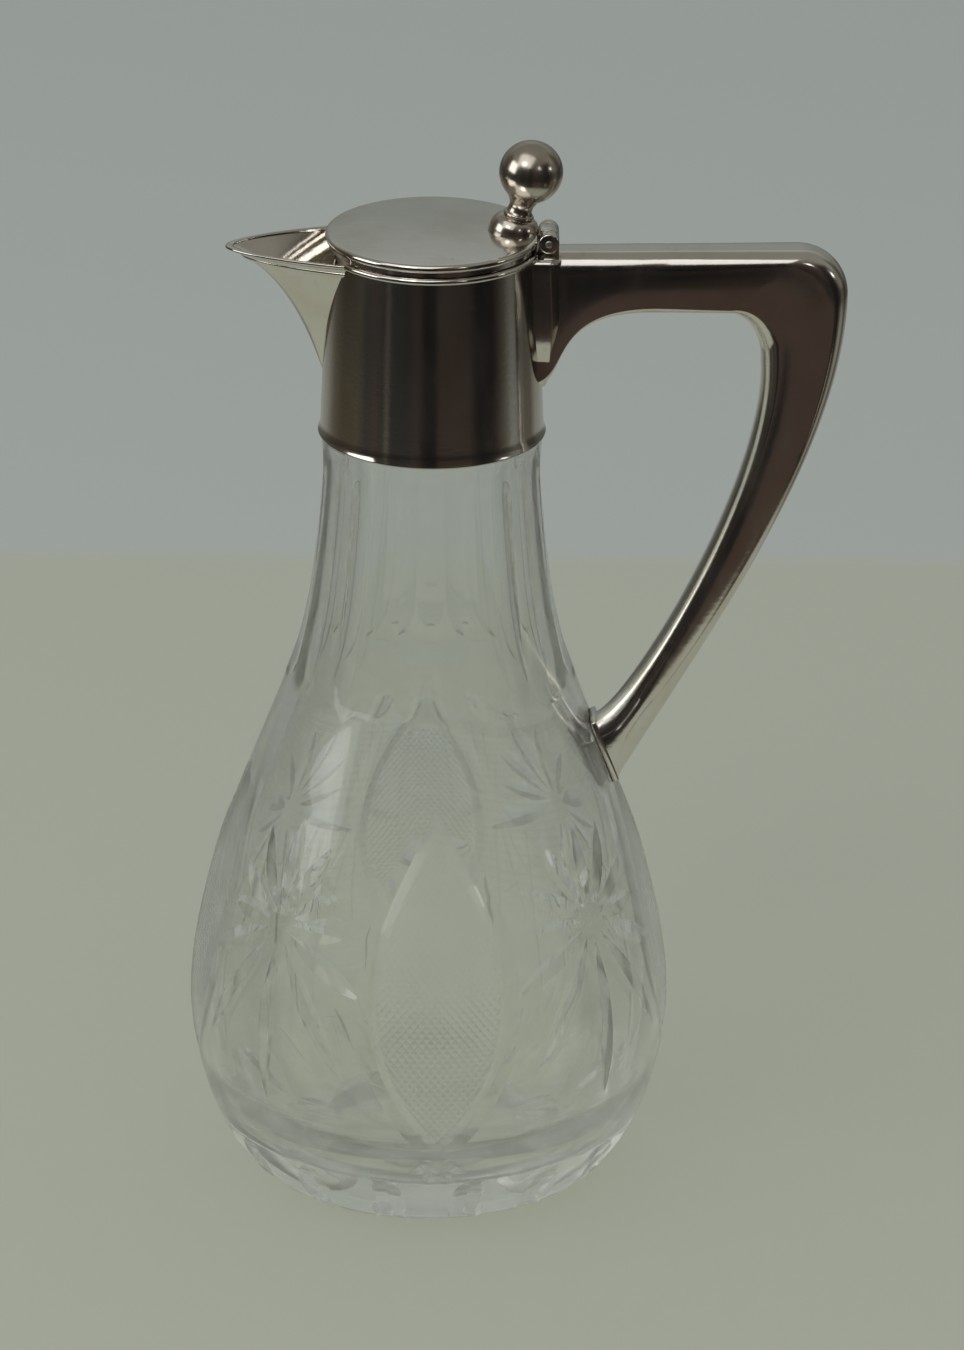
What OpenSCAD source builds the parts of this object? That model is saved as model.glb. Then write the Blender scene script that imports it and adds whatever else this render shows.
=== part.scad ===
// Claret jug: a cut-glass body in a plated mount with a beak spout, a bar handle and a hinged lid.
// Millimetres. The jug stands on z = 0 about its own axis, with its handle on +X and its spout on -X.

/* [Glass body] */
// Height of the glass up to the lower edge of the collar
glass_h = 204.5; // [198:0.5:212]
// Radius of the flat ring that the glass stands on
foot_r = 36; // [33:0.5:40]
// Radius of the heel, just above the foot
heel_r = 47.5; // [45:0.5:50]
// Largest radius of the belly
belly_r = 62; // [58:0.5:66]
// Height of the largest radius
belly_z = 51; // [46:1:58]
// Radius where the neck flutes end in a ring
ring_r = 37; // [35:0.5:40]
// Height of that ring
ring_z = 138; // [130:1:146]
// Radius of the glass where it meets the collar
neck_r = 27.8; // [27:0.1:30]
// Thickness of the glass wall
glass_wall = 6; // [4.5:0.5:6.5]
// Thickness of the glass floor
glass_floor = 13; // [9:1:18]
// Width of that flat ring
foot_ring = 5; // [3:0.5:8]
// Depth of the hollow under the foot
punt_depth = 3; // [1:0.5:6]
// Radius of the flat middle of that hollow
punt_r = 20; // [10:1:24]

/* [Neck flutes] */
// Number of flutes cut down the neck
flutes = 12; // [10:1:16]
// Height over which a flute runs out at each end
flute_runout = 7; // [4:0.5:12]
// Plain band between the flutes and the collar
flute_margin = 3; // [2:0.5:8]

/* [Star cutting] */
// Number of stars cut round the belly
stars = 4; // [3:1:5]
// How far the first star is turned from the handle
star_turn = 47.5; // [40:0.5:50]
// Height of the stars' middles
star_z = 86; // [80:1:92]
// Number of rays of a star
star_rays = 12; // [8:4:12]
// Length of a star's rays to the side
star_side = 20; // [16:0.5:22]
// Length of a star's upper ray
star_up = 27; // [22:0.5:30]
// Length of a star's lower ray
star_down = 50; // [36:0.5:52]
// Depth of the rays at their middles
ray_depth = 1.2; // [0.9:0.1:1.5]
// Angle between the flanks of a ray
ray_angle = 112; // [90:1:120]

/* [Heel cutting] */
// Number of olive cuts round the heel
olives = 16; // [12:4:20]
// Depth of the olive cuts
olive_depth = 1.4; // [0.8:0.1:1.8]
// Height of the olives' middles
olive_z = 11; // [9:0.5:14]
// Radius of the round edge of the wheel that cuts them
olive_r = 12; // [8:0.5:16]

/* [Neck tenon] */
// Radius of the ground neck that stands inside the collar
tenon_r = 25; // [24:0.1:25.4]
// Height of that ground neck
tenon_h = 12; // [8:0.5:15]
// Thickness of the ring that closes the joint to the drink
deck_t = 1; // [0.6:0.1:2]

/* [Collar] */
// Height of the collar
collar_h = 49.5; // [45:0.5:55]
// Outer radius of the collar at its rim
rim_r = 26.5; // [26:0.1:27.5]
// Outer radius of the collar at its lower edge
collar_r = 28.3; // [28:0.1:30]
// Thickness of the collar wall
collar_wall = 1; // [0.6:0.1:1.2]
// Radius of the bead round the rim
rim_bead = 0.8; // [0.5:0.1:1.2]
// Radius of the bead round the collar's lower edge
edge_bead = 0.6; // [0.4:0.1:0.8]

/* [Spout] */
// Reach of the spout from the jug's axis
spout_reach = 51.3; // [44:0.1:58]
// Half width of the spout where it leaves the rim
spout_half = 16.3; // [13:0.1:19]
// Height of the spout's join with the collar
spout_h = 34; // [28:0.5:36]
// Thickness of the spout wall
spout_wall = 1; // [0.6:0.1:1.4]
// Height of the moulding along the spout's edge
moulding_h = 4; // [3:0.1:6]
// Height of each of the two beads of the moulding
moulding_bead = 1.3; // [0.8:0.1:1.4]
// How far the moulding's beads stand out
moulding_out = 0.7; // [0.4:0.1:1.2]

/* [Handle] */
// Reach of the handle from the jug's axis
handle_reach = 104.3; // [96:0.1:112]
// How far the handle's upper side lies below the rim at the collar
bar_drop = 1.8; // [1:0.1:6]
// How far the bar rises on its way out
bar_rise = 2.3; // [0:0.1:4]
// Height of the bar
bar_h = 15; // [12:0.1:17]
// Width of the handle across the jug
handle_w = 13.5; // [10:0.1:16]
// Width of the handle at its foot
handle_foot_w = 11; // [8:0.1:13]
// Thickness of the down limb just below the corner
limb_w = 18.4; // [14:0.1:20]
// Rounding of the handle's long edges
handle_edge = 4.6; // [2:0.1:5]
// Height of the handle's foot on the glass
foot_z = 117.5; // [112:0.5:124]
// Length of the handle's foot along the glass
foot_len = 17.5; // [14:0.5:20]
// Thickness of the foot plate
foot_plate_t = 1.6; // [1:0.1:3]
// Thickness of the soft pad between foot plate and glass
pad_t = 0.8; // [0.4:0.1:1.5]
// Depth of the bracket under the handle at the collar, from the rim
console_drop = 36; // [30:0.5:40]
// Thickness of the plate that backs the handle on the collar
plate_t = 1.6; // [1:0.1:2.5]
// Half width of that plate
plate_half = 9.2; // [8:0.1:11]

/* [Lid] */
// Radius of the lid
lid_r = 27; // [26.5:0.1:28]
// Thickness of the lid at its edge
lid_t = 2.1; // [1.6:0.1:3]
// How far the middle of the lid stands above its edge
lid_dome = 0.6; // [0.2:0.1:2]
// Height of the step under the lid
step_h = 1.1; // [0.8:0.1:2]
// Gap between that step and the rim
seat_gap = 0.3; // [0.2:0.05:0.5]
// Depth of the locating ring inside the collar
bezel_h = 3.2; // [2:0.1:5]
// Thickness of the locating ring
bezel_t = 0.9; // [0.6:0.1:1.5]
// Gap round the locating ring
bezel_gap = 0.8; // [0.7:0.1:1.2]

/* [Hinge] */
// Radius of the hinge barrel
barrel_r = 2.6; // [2.2:0.1:3]
// Distance of the hinge axis from the jug's axis
hinge_x = 29; // [28.8:0.1:30]
// How far the hinge axis lies below the top of the lid's edge
hinge_drop = 1.4; // [1.2:0.1:1.8]
// Length of the whole barrel
barrel_len = 12; // [10:0.1:14]
// Length of the lid's own knuckle
knuckle_len = 4.4; // [3.6:0.1:5]
// Gap between neighbouring knuckles
knuckle_gap = 0.3; // [0.2:0.05:0.4]
// Radius of the hinge pin
pin_r = 0.9; // [0.7:0.05:1.1]
// Radial clearance of the pin in its holes
pin_gap = 0.05; // [0.02:0.01:0.08]

/* [Thumbpiece] */
// Radius of the ball
ball_r = 8; // [6:0.1:8.5]
// Distance of the ball's centre from the lid, along its leaning axis
ball_up = 16.2; // [15:0.1:18]
// Lean of the thumbpiece towards the handle
thumb_lean = 15; // [8:0.5:16]
// Where the thumbpiece stands, from the jug's axis
thumb_x = 20.2; // [19:0.1:20.4]
// Radius of its domed foot
thumb_foot_r = 6; // [5.4:0.1:6.2]
// Height of the domed foot
thumb_foot_h = 4; // [3:0.1:4.6]
// Radius of the ring on top of the foot
thumb_ring_r = 3.9; // [3.6:0.1:4.2]
// Radius of the stem at its narrowest
stem_r = 3; // [2.4:0.1:3.2]
// Radius of the stem where it meets the ball
stem_top_r = 4.6; // [3.6:0.1:5]

/* [Hidden] */
$fn = 96;

seam = 0.02;              // gap left where curved faces of one body meet
beyond = 20;              // how far a cutter reaches past what it cuts
rim_z = glass_h + collar_h;
deck_z = glass_h + tenon_h;
lid_z = rim_z + seat_gap + step_h;
lid_top_z = lid_z + lid_t;
hinge_z = lid_top_z - hinge_drop;
silver = [0.75, 0.73, 0.70];

// ---- curves ---------------------------------------------------------------------------------------

function mix(a, b, t) = a + (b - a) * t;

// Points of a cubic curve through four control points, from t = 0 to 1.
function bezier(a, b, c, d, t) =
    pow(1 - t, 3) * a + 3 * pow(1 - t, 2) * t * b + 3 * (1 - t) * t * t * c + t * t * t * d;

// A smooth radius as a function of height through stations [height, radius].
function chord(s, a, b) = (s[b][1] - s[a][1]) / (s[b][0] - s[a][0]);
function grade(s, i) =
    i == 0 ? 2 * chord(s, 0, 1) - chord(s, 0, 2)
    : i == len(s) - 1 ? 2 * chord(s, i - 1, i) - chord(s, i - 2, i)
    : chord(s, i - 1, i + 1);
function span(s, z, i = 0) = i >= len(s) - 2 || z < s[i + 1][0] ? i : span(s, z, i + 1);
function smooth(s, z) =
    let (i = span(s, z), h = s[i + 1][0] - s[i][0], t = (z - s[i][0]) / h)
    s[i][1] * (1 + 2 * t) * pow(1 - t, 2) + s[i + 1][1] * t * t * (3 - 2 * t)
    + h * grade(s, i) * t * pow(1 - t, 2) - h * grade(s, i + 1) * t * t * (1 - t);

// ---- glass body -----------------------------------------------------------------------------------

heel_z = 6;               // height of the heel
body_stations = [
    [0, foot_r],
    [heel_z, heel_r],
    [mix(heel_z, belly_z, 0.4), mix(heel_r, belly_r, 0.7)],
    [belly_z, belly_r],
    [mix(belly_z, ring_z, 0.42), mix(ring_r, belly_r, 0.74)],
    [mix(belly_z, ring_z, 0.72), mix(ring_r, belly_r, 0.36)],
    [ring_z, ring_r],
    [mix(ring_z, glass_h, 0.34), mix(neck_r, ring_r, 0.43)],
    [glass_h, neck_r]];
function body_r(z) = smooth(body_stations, z);

belly_rows = 20;          // conical bands of the wall below the flutes
flute_rows = 9;           // conical bands of the fluted neck
flute_top_z = glass_h - flute_margin;
flute_zs = [for (i = [0:flute_rows]) mix(ring_z, flute_top_z, i / flute_rows)];
body_zs = concat([for (i = [0:belly_rows - 1]) ring_z * i / belly_rows], flute_zs, [glass_h]);
bore_rows = 22;           // conical bands of the inner wall
bowl_rows = 7;            // bands of the rounded floor of the cavity
bowl_h = 24;              // height of that rounded floor

function bore_r(z) = z >= glass_h ? neck_r - glass_wall : body_r(z) - glass_wall;

module glass_blank() {
    bowl_top = glass_floor + bowl_h;
    outer = [for (z = body_zs) [body_r(z), z]];
    bore = [for (i = [0:bore_rows]) let (z = mix(glass_h, bowl_top, i / bore_rows)) [bore_r(z), z]];
    bowl = [for (i = [1:bowl_rows]) let (a = 90 * i / bowl_rows)
        [bore_r(bowl_top) * cos(a), bowl_top - bowl_h * sin(a)]];
    rotate_extrude()
        polygon(concat([[0, punt_depth], [punt_r, punt_depth], [foot_r - foot_ring, 0]], outer,
            [[tenon_r, glass_h], [tenon_r, deck_z], [neck_r - glass_wall, deck_z]], bore, bowl));
}

// One flat flute, as everything outside a plane strip that follows the neck.
module flute_cutter() {
    half = 180 / flutes;
    function run(z) = min(1, (z - ring_z) / flute_runout, (flute_top_z - z) / flute_runout);
    edge = [for (z = flute_zs) [body_r(z) * mix(1, cos(half), run(z)), z]];
    rotate([90, 0, 0])
        linear_extrude(height = 2.4 * ring_r * tan(half), center = true)
            polygon(concat([[ring_r + beyond, ring_z]], edge, [[ring_r + beyond, flute_top_z]]));
}

// Middle, radius and unit normal of the circle through three points.
function circle3(a, b, c) =
    let (ab = b - a, ac = c - a, n = cross(ab, ac))
    let (mid = a + (cross(n, ab) * (ac * ac) + cross(ac, n) * (ab * ab)) / (2 * n * n))
    [mid, norm(a - mid), n / norm(n)];

// A lens-shaped cut from a over the deeper point b to c, by a V-edged ring about their circle. The
// ring's V opens away from the glass, on whichever side of the cut the circle's middle lies.
ray_open = 3;             // height of the V that is taken away
module lens_cut(a, b, c) {
    ring = circle3(a, b, c);
    z = ring[2];
    x = (a - ring[0]) / ring[1];
    y = cross(z, x);
    outside = (ring[0] - b) * [b[0], b[1], 0] > 0;
    open = outside ? ring[1] - ray_open : ring[1] + ray_open;
    wide = ray_open * tan(ray_angle / 2);
    multmatrix([[x[0], y[0], z[0], ring[0][0]], [x[1], y[1], z[1], ring[0][1]],
            [x[2], y[2], z[2], ring[0][2]], [0, 0, 0, 1]])
        rotate_extrude(angle = 2 * asin(min(1, norm(c - a) / 2 / ring[1])))
            polygon([[ring[1], 0], [open, wide], [open, -wide]]);
}

// A point of a star's ray at a distance from the star's middle, on the glass or below it.
star_eye = 2.5;           // distance of the rays' inner ends from the star's middle
function ray_point(slant, reach, sink = 0) =
    let (z = star_z + reach * sin(slant), turn = reach * cos(slant) / body_r(star_z) * 180 / PI,
        r = body_r(z) - sink)
    [r * cos(turn), r * sin(turn), z];

module star() {
    for (i = [0:star_rays - 1]) {
        slant = 360 * i / star_rays;
        tip = mix(star_side, sin(slant) > 0 ? star_up : star_down, pow(abs(sin(slant)), 1.4));
        lens_cut(ray_point(slant, star_eye), ray_point(slant, mix(star_eye, tip, 0.5), ray_depth),
            ray_point(slant, tip));
    }
}

// One olive: a straight pass of the round-edged wheel along the curve of the heel.
lean_step = 4;            // half the height over which the heel's slope is taken
module olive() {
    lean = atan2(body_r(olive_z + lean_step) - body_r(olive_z - lean_step), 2 * lean_step);
    translate([body_r(olive_z) - olive_depth * cos(lean), 0, olive_z + olive_depth * sin(lean)])
        rotate([0, lean, 0]) translate([olive_r, 0, 0])
            cylinder(h = 4 * olive_r, r = olive_r, center = true);
}

module glass_body() color([0.86, 0.9, 0.88, 0.45])
    difference() {
        glass_blank();
        for (i = [0:stars - 1]) rotate([0, 0, star_turn + 360 * i / stars]) star();
        for (i = [0:olives - 1]) rotate([0, 0, 360 * (i + 0.5) / olives]) olive();
        for (i = [0:flutes - 1]) rotate([0, 0, 360 * i / flutes]) flute_cutter();
        foot_frame() foot_seat();
    }

// ---- bedding and deck -----------------------------------------------------------------------------

function collar_out(z) = mix(rim_r, collar_r, (rim_z - z) / collar_h);
function collar_in(z) = collar_out(z) - collar_wall;

module plaster_bedding() color([0.92, 0.9, 0.85])
    rotate_extrude() polygon([
        [tenon_r + seam, glass_h + seam], [collar_in(glass_h) - seam, glass_h + seam],
        [collar_in(deck_z) - seam, deck_z - seam], [tenon_r + seam, deck_z - seam]]);

module deck_ring() color(silver)
    rotate_extrude() polygon([
        [neck_r - glass_wall, deck_z], [collar_in(deck_z) - seam, deck_z],
        [collar_in(deck_z + deck_t) - seam, deck_z + deck_t], [neck_r - glass_wall, deck_z + deck_t]]);

// ---- collar ---------------------------------------------------------------------------------------

// Everything inside the collar's outer face, grown by a margin.
module collar_core(grow = 0) {
    rotate_extrude() polygon([
        [0, glass_h - beyond], [collar_out(glass_h - beyond) + grow, glass_h - beyond],
        [collar_out(rim_z + beyond) + grow, rim_z + beyond], [0, rim_z + beyond]]);
}

bead_z = rim_z - rim_bead;
edge_bead_z = glass_h + 1.5 * edge_bead;
module collar_shell() color(silver)
    difference() {
        rotate_extrude() {
            polygon([
                [collar_in(glass_h), glass_h], [collar_r, glass_h], [collar_out(bead_z), bead_z],
                [collar_in(bead_z), bead_z]]);
            translate([collar_out(edge_bead_z), edge_bead_z]) circle(r = edge_bead, $fn = 32);
        }
        spout_loft(spout_wall);
    }

module collar_rim() color(silver)
    difference() {
        rotate_extrude() {
            translate([collar_in(bead_z), bead_z]) square([collar_wall, rim_bead]);
            intersection() {
                translate([rim_r, bead_z]) circle(r = rim_bead, $fn = 32);
                translate([collar_in(bead_z), bead_z - rim_bead]) square([beyond, 2 * rim_bead]);
                difference() {
                    translate([0, bead_z - rim_bead]) square([rim_r + beyond, 2 * rim_bead]);
                    polygon([[0, glass_h], [collar_r + seam, glass_h],
                        [collar_out(bead_z) + seam, bead_z], [0, bead_z]]);
                }
            }
        }
        spout_loft(-moulding_out);
        plate_block(plate_t);
    }

// ---- spout ----------------------------------------------------------------------------------------

spout_rows = 14;          // levels of the spout below its lip
spout_cols = 10;          // points from the keel to the collar on each side
lip_h = 1;                // upright edge at the spout's tip
lip_drop = 0.4;           // how far the spout's edge lies below the rim
spout_top_z = rim_z - lip_drop;
tuck = 0.45;              // how far the outline's last point lies inside the collar's face

// The keel seen from the side, as [distance from the axis, depth below the rim].
function keel(t, inset) =
    let (slim = inset * 1.25)
    bezier([spout_reach - slim, lip_h], [spout_reach - 11 - slim, 0.17 * spout_h],
        [spout_reach - 18 - slim, 0.48 * spout_h], [rim_r + 1 - slim, spout_h - 3 * inset], t);
// Half width at the collar as it narrows with depth.
function spout_half_at(depth, inset) =
    max(0.2, (spout_half - inset) * pow(max(0, 1 - depth / (spout_h - 3 * inset)), 1.1));
// Outline from tip (0) to root (1): a round nose and then nearly straight sides.
function nose(u) = 0.55 * sqrt(u * (2 - u)) + 0.45 * u;

function spout_level(z, reach, half) =
    let (root = sqrt(pow(collar_out(z), 2) - half * half) - tuck,
        side = [for (i = [0:spout_cols]) let (u = pow(i / spout_cols, 1.6))
            [-mix(max(reach, root + 2 * tuck), root, u), half * nose(u)]],
        back = [[-root + 7, half]])
    [for (p = concat(side, back)) [p[0], -p[1], z], for (i = [len(back) + spout_cols:-1:1])
        let (p = concat(side, back)[i]) [p[0], p[1], z]];

// Closed solid between the stacked outlines of the spout, made smaller on every side by inset.
module spout_loft(inset) {
    over = inset > 0 ? beyond : 0;
    below = [for (i = [spout_rows:-1:0]) let (k = keel(i / spout_rows, inset))
        spout_level(rim_z - k[1], k[0], spout_half_at(k[1], inset))];
    k0 = keel(0, inset);
    half0 = spout_half - inset;
    levels = concat(below, [spout_level(spout_top_z, k0[0], half0)],
        over > 0 ? [spout_level(rim_z + over, k0[0], half0)] : []);
    n = len(levels[0]);
    rows = len(levels);
    polyhedron(
        points = [for (l = levels, p = l) p],
        faces = concat(
            [[for (j = [0:n - 1]) j]], [[for (j = [n - 1:-1:0]) (rows - 1) * n + j]],
            [for (i = [0:rows - 2], j = [0:n - 1]) let (k = (j + 1) % n)
                [i * n + j, (i + 1) * n + j, (i + 1) * n + k]],
            [for (i = [0:rows - 2], j = [0:n - 1]) let (k = (j + 1) % n)
                [i * n + j, (i + 1) * n + k, i * n + k]]),
        convexity = 6);
}

module spout_shell() color(silver)
    difference() {
        spout_loft(0);
        spout_loft(spout_wall);
        collar_core();
    }

// Two beads with a hollow between them along the spout's upper edge.
module spout_moulding() color(silver)
    difference() {
        intersection() {
            spout_loft(-moulding_out);
            translate([-spout_reach - beyond, -spout_half - beyond, rim_z - moulding_h])
                cube([spout_reach + beyond, 2 * (spout_half + beyond), moulding_h]);
        }
        difference() {
            translate([-spout_reach - beyond, -spout_half - beyond, rim_z - moulding_h + moulding_bead])
                cube([spout_reach + beyond, 2 * (spout_half + beyond),
                    moulding_h - 2 * moulding_bead - lip_drop]);
            spout_loft(-moulding_out / 3);
        }
        spout_loft(0);
        collar_core();
    }

// ---- handle ---------------------------------------------------------------------------------------

// Frame of the handle's foot: x points out of the glass, z up along it, origin on the glass.
foot_tilt = atan((body_r(foot_z - foot_len / 2) - body_r(foot_z + foot_len / 2)) / foot_len);
foot_sink = 1.2;          // depth of the flat ground into the glass for the pad
module foot_frame() translate([body_r(foot_z) - foot_sink, 0, foot_z])
    rotate([0, -foot_tilt, 0]) children();
seat_margin = 0.6;        // how far the flat reaches past the pad on every side

// What the flat ground for the pad takes off the glass.
module foot_seat() translate([0, -handle_foot_w / 2 - seat_margin, -foot_len / 2 - seat_margin])
    cube([beyond, handle_foot_w + 2 * seat_margin, foot_len + 2 * seat_margin]);

function foot_point(out, up) = [
    body_r(foot_z) - foot_sink + out * cos(foot_tilt) - up * sin(foot_tilt),
    foot_z + out * sin(foot_tilt) + up * cos(foot_tilt)];

bar_top_z = rim_z - bar_drop;
corner_z = bar_top_z + bar_rise;
under_z = corner_z - bar_h;
console_x = 15;           // how far the bracket reaches along the bar
bar_x = rim_r;            // where the bar's outlines start, inside the backing plate
foot_out = pad_t + foot_plate_t;
heel_pt = foot_point(foot_out, -foot_len / 2);
toe_pt = foot_point(foot_out, foot_len / 2);
corner_r = 9;             // size of the outer corner's curve
inner_corner_r = 11.5;    // size of the inner corner's curve
inner_x = handle_reach - limb_w;

// Outer side of the handle from the collar over the corner to the foot.
bar_rows = 12;
corner_rows = 6;
limb_rows = 12;
limb_drop = corner_z - heel_pt[1];
function bar_outer(t) = [mix(bar_x, handle_reach - corner_r, t), mix(bar_top_z, corner_z, t)];
function corner_outer(t) = bezier([handle_reach - corner_r, corner_z],
    [handle_reach - 0.4 * corner_r, corner_z], [handle_reach, corner_z - 0.5 * corner_r],
    [handle_reach, corner_z - corner_r], t);
function limb_outer(t) = bezier([handle_reach, corner_z - corner_r],
    [handle_reach, corner_z - 0.34 * limb_drop],
    [mix(heel_pt[0], handle_reach, 0.48), corner_z - 0.71 * limb_drop], heel_pt, t);
// Inner side: bracket under the bar, inner corner and inner side of the limb.
console_z = rim_z - console_drop;
function console(t) = bezier([bar_x, console_z],
    [bar_x + 0.35 * console_x, mix(console_z, under_z, 0.35)], [bar_x + 0.3 * console_x, under_z],
    [bar_x + console_x, under_z], t);
function bar_inner(t) =
    let (end = inner_x - inner_corner_r, k = 0.5)
    t < k ? console(t / k) : [mix(bar_x + console_x, end, (t - k) / (1 - k)), under_z];
function corner_inner(t) = bezier([inner_x - inner_corner_r, under_z],
    [inner_x - 0.4 * inner_corner_r, under_z], [inner_x, under_z - 0.5 * inner_corner_r],
    [inner_x, under_z - inner_corner_r], t);
function limb_inner(t) = bezier([inner_x, under_z - inner_corner_r],
    [inner_x + 2, mix(under_z, toe_pt[1], 0.33)],
    [mix(toe_pt[0], inner_x, 0.52), mix(under_z, toe_pt[1], 0.77)], toe_pt, t);

outer_side = concat([for (i = [0:bar_rows - 1]) bar_outer(i / bar_rows)],
    [for (i = [0:corner_rows - 1]) corner_outer(i / corner_rows)],
    [for (i = [0:limb_rows]) limb_outer(i / limb_rows)]);
inner_side = concat([for (i = [0:bar_rows - 1]) bar_inner(i / bar_rows)],
    [for (i = [0:corner_rows - 1]) corner_inner(i / corner_rows)],
    [for (i = [0:limb_rows]) limb_inner(i / limb_rows)]);

// One rounded section across the handle between an outer and an inner point.
edge_cols = 4;
function section(o, i, half, r) =
    let (c = (o + i) / 2, d = o - i, a = norm(d) / 2, u = d / norm(d), q = min(r, a - 0.1, half - 0.1))
    [for (k = [0:3], j = [0:edge_cols])
        let (ang = 90 * k + 90 * j / edge_cols,
            sa = (k == 0 || k == 3) ? a - q : q - a, sb = (k < 2) ? half - q : q - half,
            pa = sa + q * cos(ang), pb = sb + q * sin(ang))
        [c[0] + u[0] * pa, pb, c[1] + u[1] * pa]];

function handle_half(i) = i <= bar_rows ? handle_w / 2
    : mix(handle_w, handle_foot_w, (i - bar_rows) / (corner_rows + limb_rows)) / 2;

module handle_loft() {
    rows = len(outer_side);
    rings = [for (i = [0:rows - 1]) section(outer_side[i], inner_side[i], handle_half(i), handle_edge)];
    n = len(rings[0]);
    polyhedron(
        points = [for (l = rings, p = l) p],
        faces = concat(
            [[for (j = [n - 1:-1:0]) j]], [[for (j = [0:n - 1]) (rows - 1) * n + j]],
            [for (i = [0:rows - 2], j = [0:n - 1]) let (k = (j + 1) % n)
                [i * n + j, (i + 1) * n + k, (i + 1) * n + j]],
            [for (i = [0:rows - 2], j = [0:n - 1]) let (k = (j + 1) % n)
                [i * n + j, i * n + k, (i + 1) * n + k]]),
        convexity = 6);
}

// Room that the hinge's foot takes out of the bar.
leaf_t = 1.0;             // thickness of the hinge's leaf on the bar
ear_foot_x = hinge_x + barrel_r;
ear_foot_z = bar_top_z - leaf_t - 0.2;
module handle_body() color(silver)
    difference() {
        handle_loft();
        collar_core(plate_t);
        translate([rim_r, -barrel_len / 2, ear_foot_z])
            cube([ear_foot_x - rim_r, barrel_len, beyond]);
    }

// Shield-shaped plate bent round the collar.
plate_cut = 2;            // cut corners of the plate, and half the width of its lower end
plate_below = 1.5;        // how far the plate reaches below the bracket
module plate_outline() {
    half = [[plate_cut, console_z - plate_below], [plate_half * 0.7, mix(under_z, console_z, 0.4)],
        [plate_half, under_z - plate_cut], [plate_half, bar_top_z - plate_cut],
        [plate_half - plate_cut, bar_top_z]];
    polygon(concat(half, [for (i = [len(half) - 1:-1:0]) [-half[i][0], half[i][1]]]));
}
module plate_block(t) intersection() {
    difference() { collar_core(t); collar_core(0); }
    rotate([90, 0, 90]) linear_extrude(height = 2 * rim_r) plate_outline();
}
module handle_plate() color(silver)
    difference() {
        plate_block(plate_t);
        translate([rim_r, -barrel_len / 2, ear_foot_z]) cube([ear_foot_x - rim_r, barrel_len, beyond]);
    }

module handle_foot_plate() color(silver)
    foot_frame() translate([pad_t, -handle_foot_w / 2, -foot_len / 2])
        cube([foot_plate_t, handle_foot_w, foot_len]);

module handle_foot_pad() color([0.5, 0.36, 0.22])
    foot_frame() translate([0, -handle_foot_w / 2, -foot_len / 2])
        cube([pad_t, handle_foot_w, foot_len]);

// ---- hinge ----------------------------------------------------------------------------------------

module barrel(len_y, r, y = 0) translate([hinge_x, y, hinge_z]) rotate([90, 0, 0])
    cylinder(h = len_y, r = r, center = true, $fn = 48);

leaf_gap = 0.3;           // gap between the leaf and the bead round the rim
ear_len = (barrel_len - knuckle_len) / 2 - knuckle_gap;
module hinge_ears() color(silver)
    difference() {
        union() {
            for (side = [-1, 1]) {
                y = side * (barrel_len - ear_len) / 2;
                barrel(ear_len, barrel_r, y);
                translate([hinge_x - barrel_r * 0.5, y - ear_len / 2, ear_foot_z])
                    cube([barrel_r * 1.5, ear_len, hinge_z - ear_foot_z]);
            }
            translate([rim_r + rim_bead + leaf_gap, -barrel_len / 2, ear_foot_z])
                cube([ear_foot_x - rim_r - rim_bead - leaf_gap, barrel_len, leaf_t]);
        }
        barrel(barrel_len + 2, pin_r + pin_gap);
    }

pin_end = 0.3;            // how far the pin stands out at each end
module hinge_pin() color([0.6, 0.59, 0.56]) barrel(barrel_len + 2 * pin_end, pin_r);

// ---- lid ------------------------------------------------------------------------------------------

lid_edge_rows = 8;
lid_dome_rows = 8;
module lid_blank() {
    edge = [for (i = [0:lid_edge_rows]) let (a = -90 + 180 * i / lid_edge_rows)
        [lid_r - lid_t / 2 + lid_t / 2 * cos(a), lid_z + lid_t / 2 + lid_t / 2 * sin(a)]];
    dome = [for (i = [1:lid_dome_rows]) let (r = (lid_r - lid_t / 2) * (1 - i / lid_dome_rows))
        [r, lid_top_z + lid_dome * (1 - pow(r / (lid_r - lid_t / 2), 2))]];
    rotate_extrude() polygon(concat([[0, lid_z]], edge, dome));
}

ear_room = knuckle_gap + 0.1;   // gap between the lid's edge and the fixed knuckles
module lid_disc() color(silver)
    difference() {
        lid_blank();
        barrel(knuckle_len + 2 * knuckle_gap, barrel_r);
        for (side = [-1, 1])
            translate([hinge_x - barrel_r - ear_room,
                side > 0 ? knuckle_len / 2 : -barrel_len / 2 - 2 * knuckle_gap, lid_z - lid_t])
                cube([beyond, (barrel_len - knuckle_len) / 2 + 2 * knuckle_gap, 3 * lid_t]);
    }

step_in = 0.4;            // how far the step lies inside the rim's outer face
module lid_bezel() color(silver)
    rotate_extrude() {
        outer = collar_in(rim_z) - bezel_gap;
        polygon([
            [outer - bezel_t, rim_z + seat_gap - bezel_h], [outer, rim_z + seat_gap - bezel_h],
            [outer, rim_z + seat_gap], [rim_r - step_in, rim_z + seat_gap],
            [rim_r - step_in, lid_z], [outer - bezel_t, lid_z]]);
    }

strap_t = 1.3;            // thickness of the strap over the lid
strap_gap = 0.2;          // gap between the strap and the thumbpiece's foot
module lid_knuckle() color(silver)
    difference() {
        union() {
            barrel(knuckle_len, barrel_r);
            translate([thumb_x + thumb_foot_r + strap_gap, -knuckle_len / 2, lid_z])
                cube([hinge_x - thumb_x - thumb_foot_r - strap_gap, knuckle_len, lid_t + strap_t]);
        }
        lid_disc_clear();
        barrel(knuckle_len + 2, pin_r + pin_gap);
    }
module lid_disc_clear() difference() {
    lid_blank();
    barrel(knuckle_len + 2, barrel_r);
}

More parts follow.
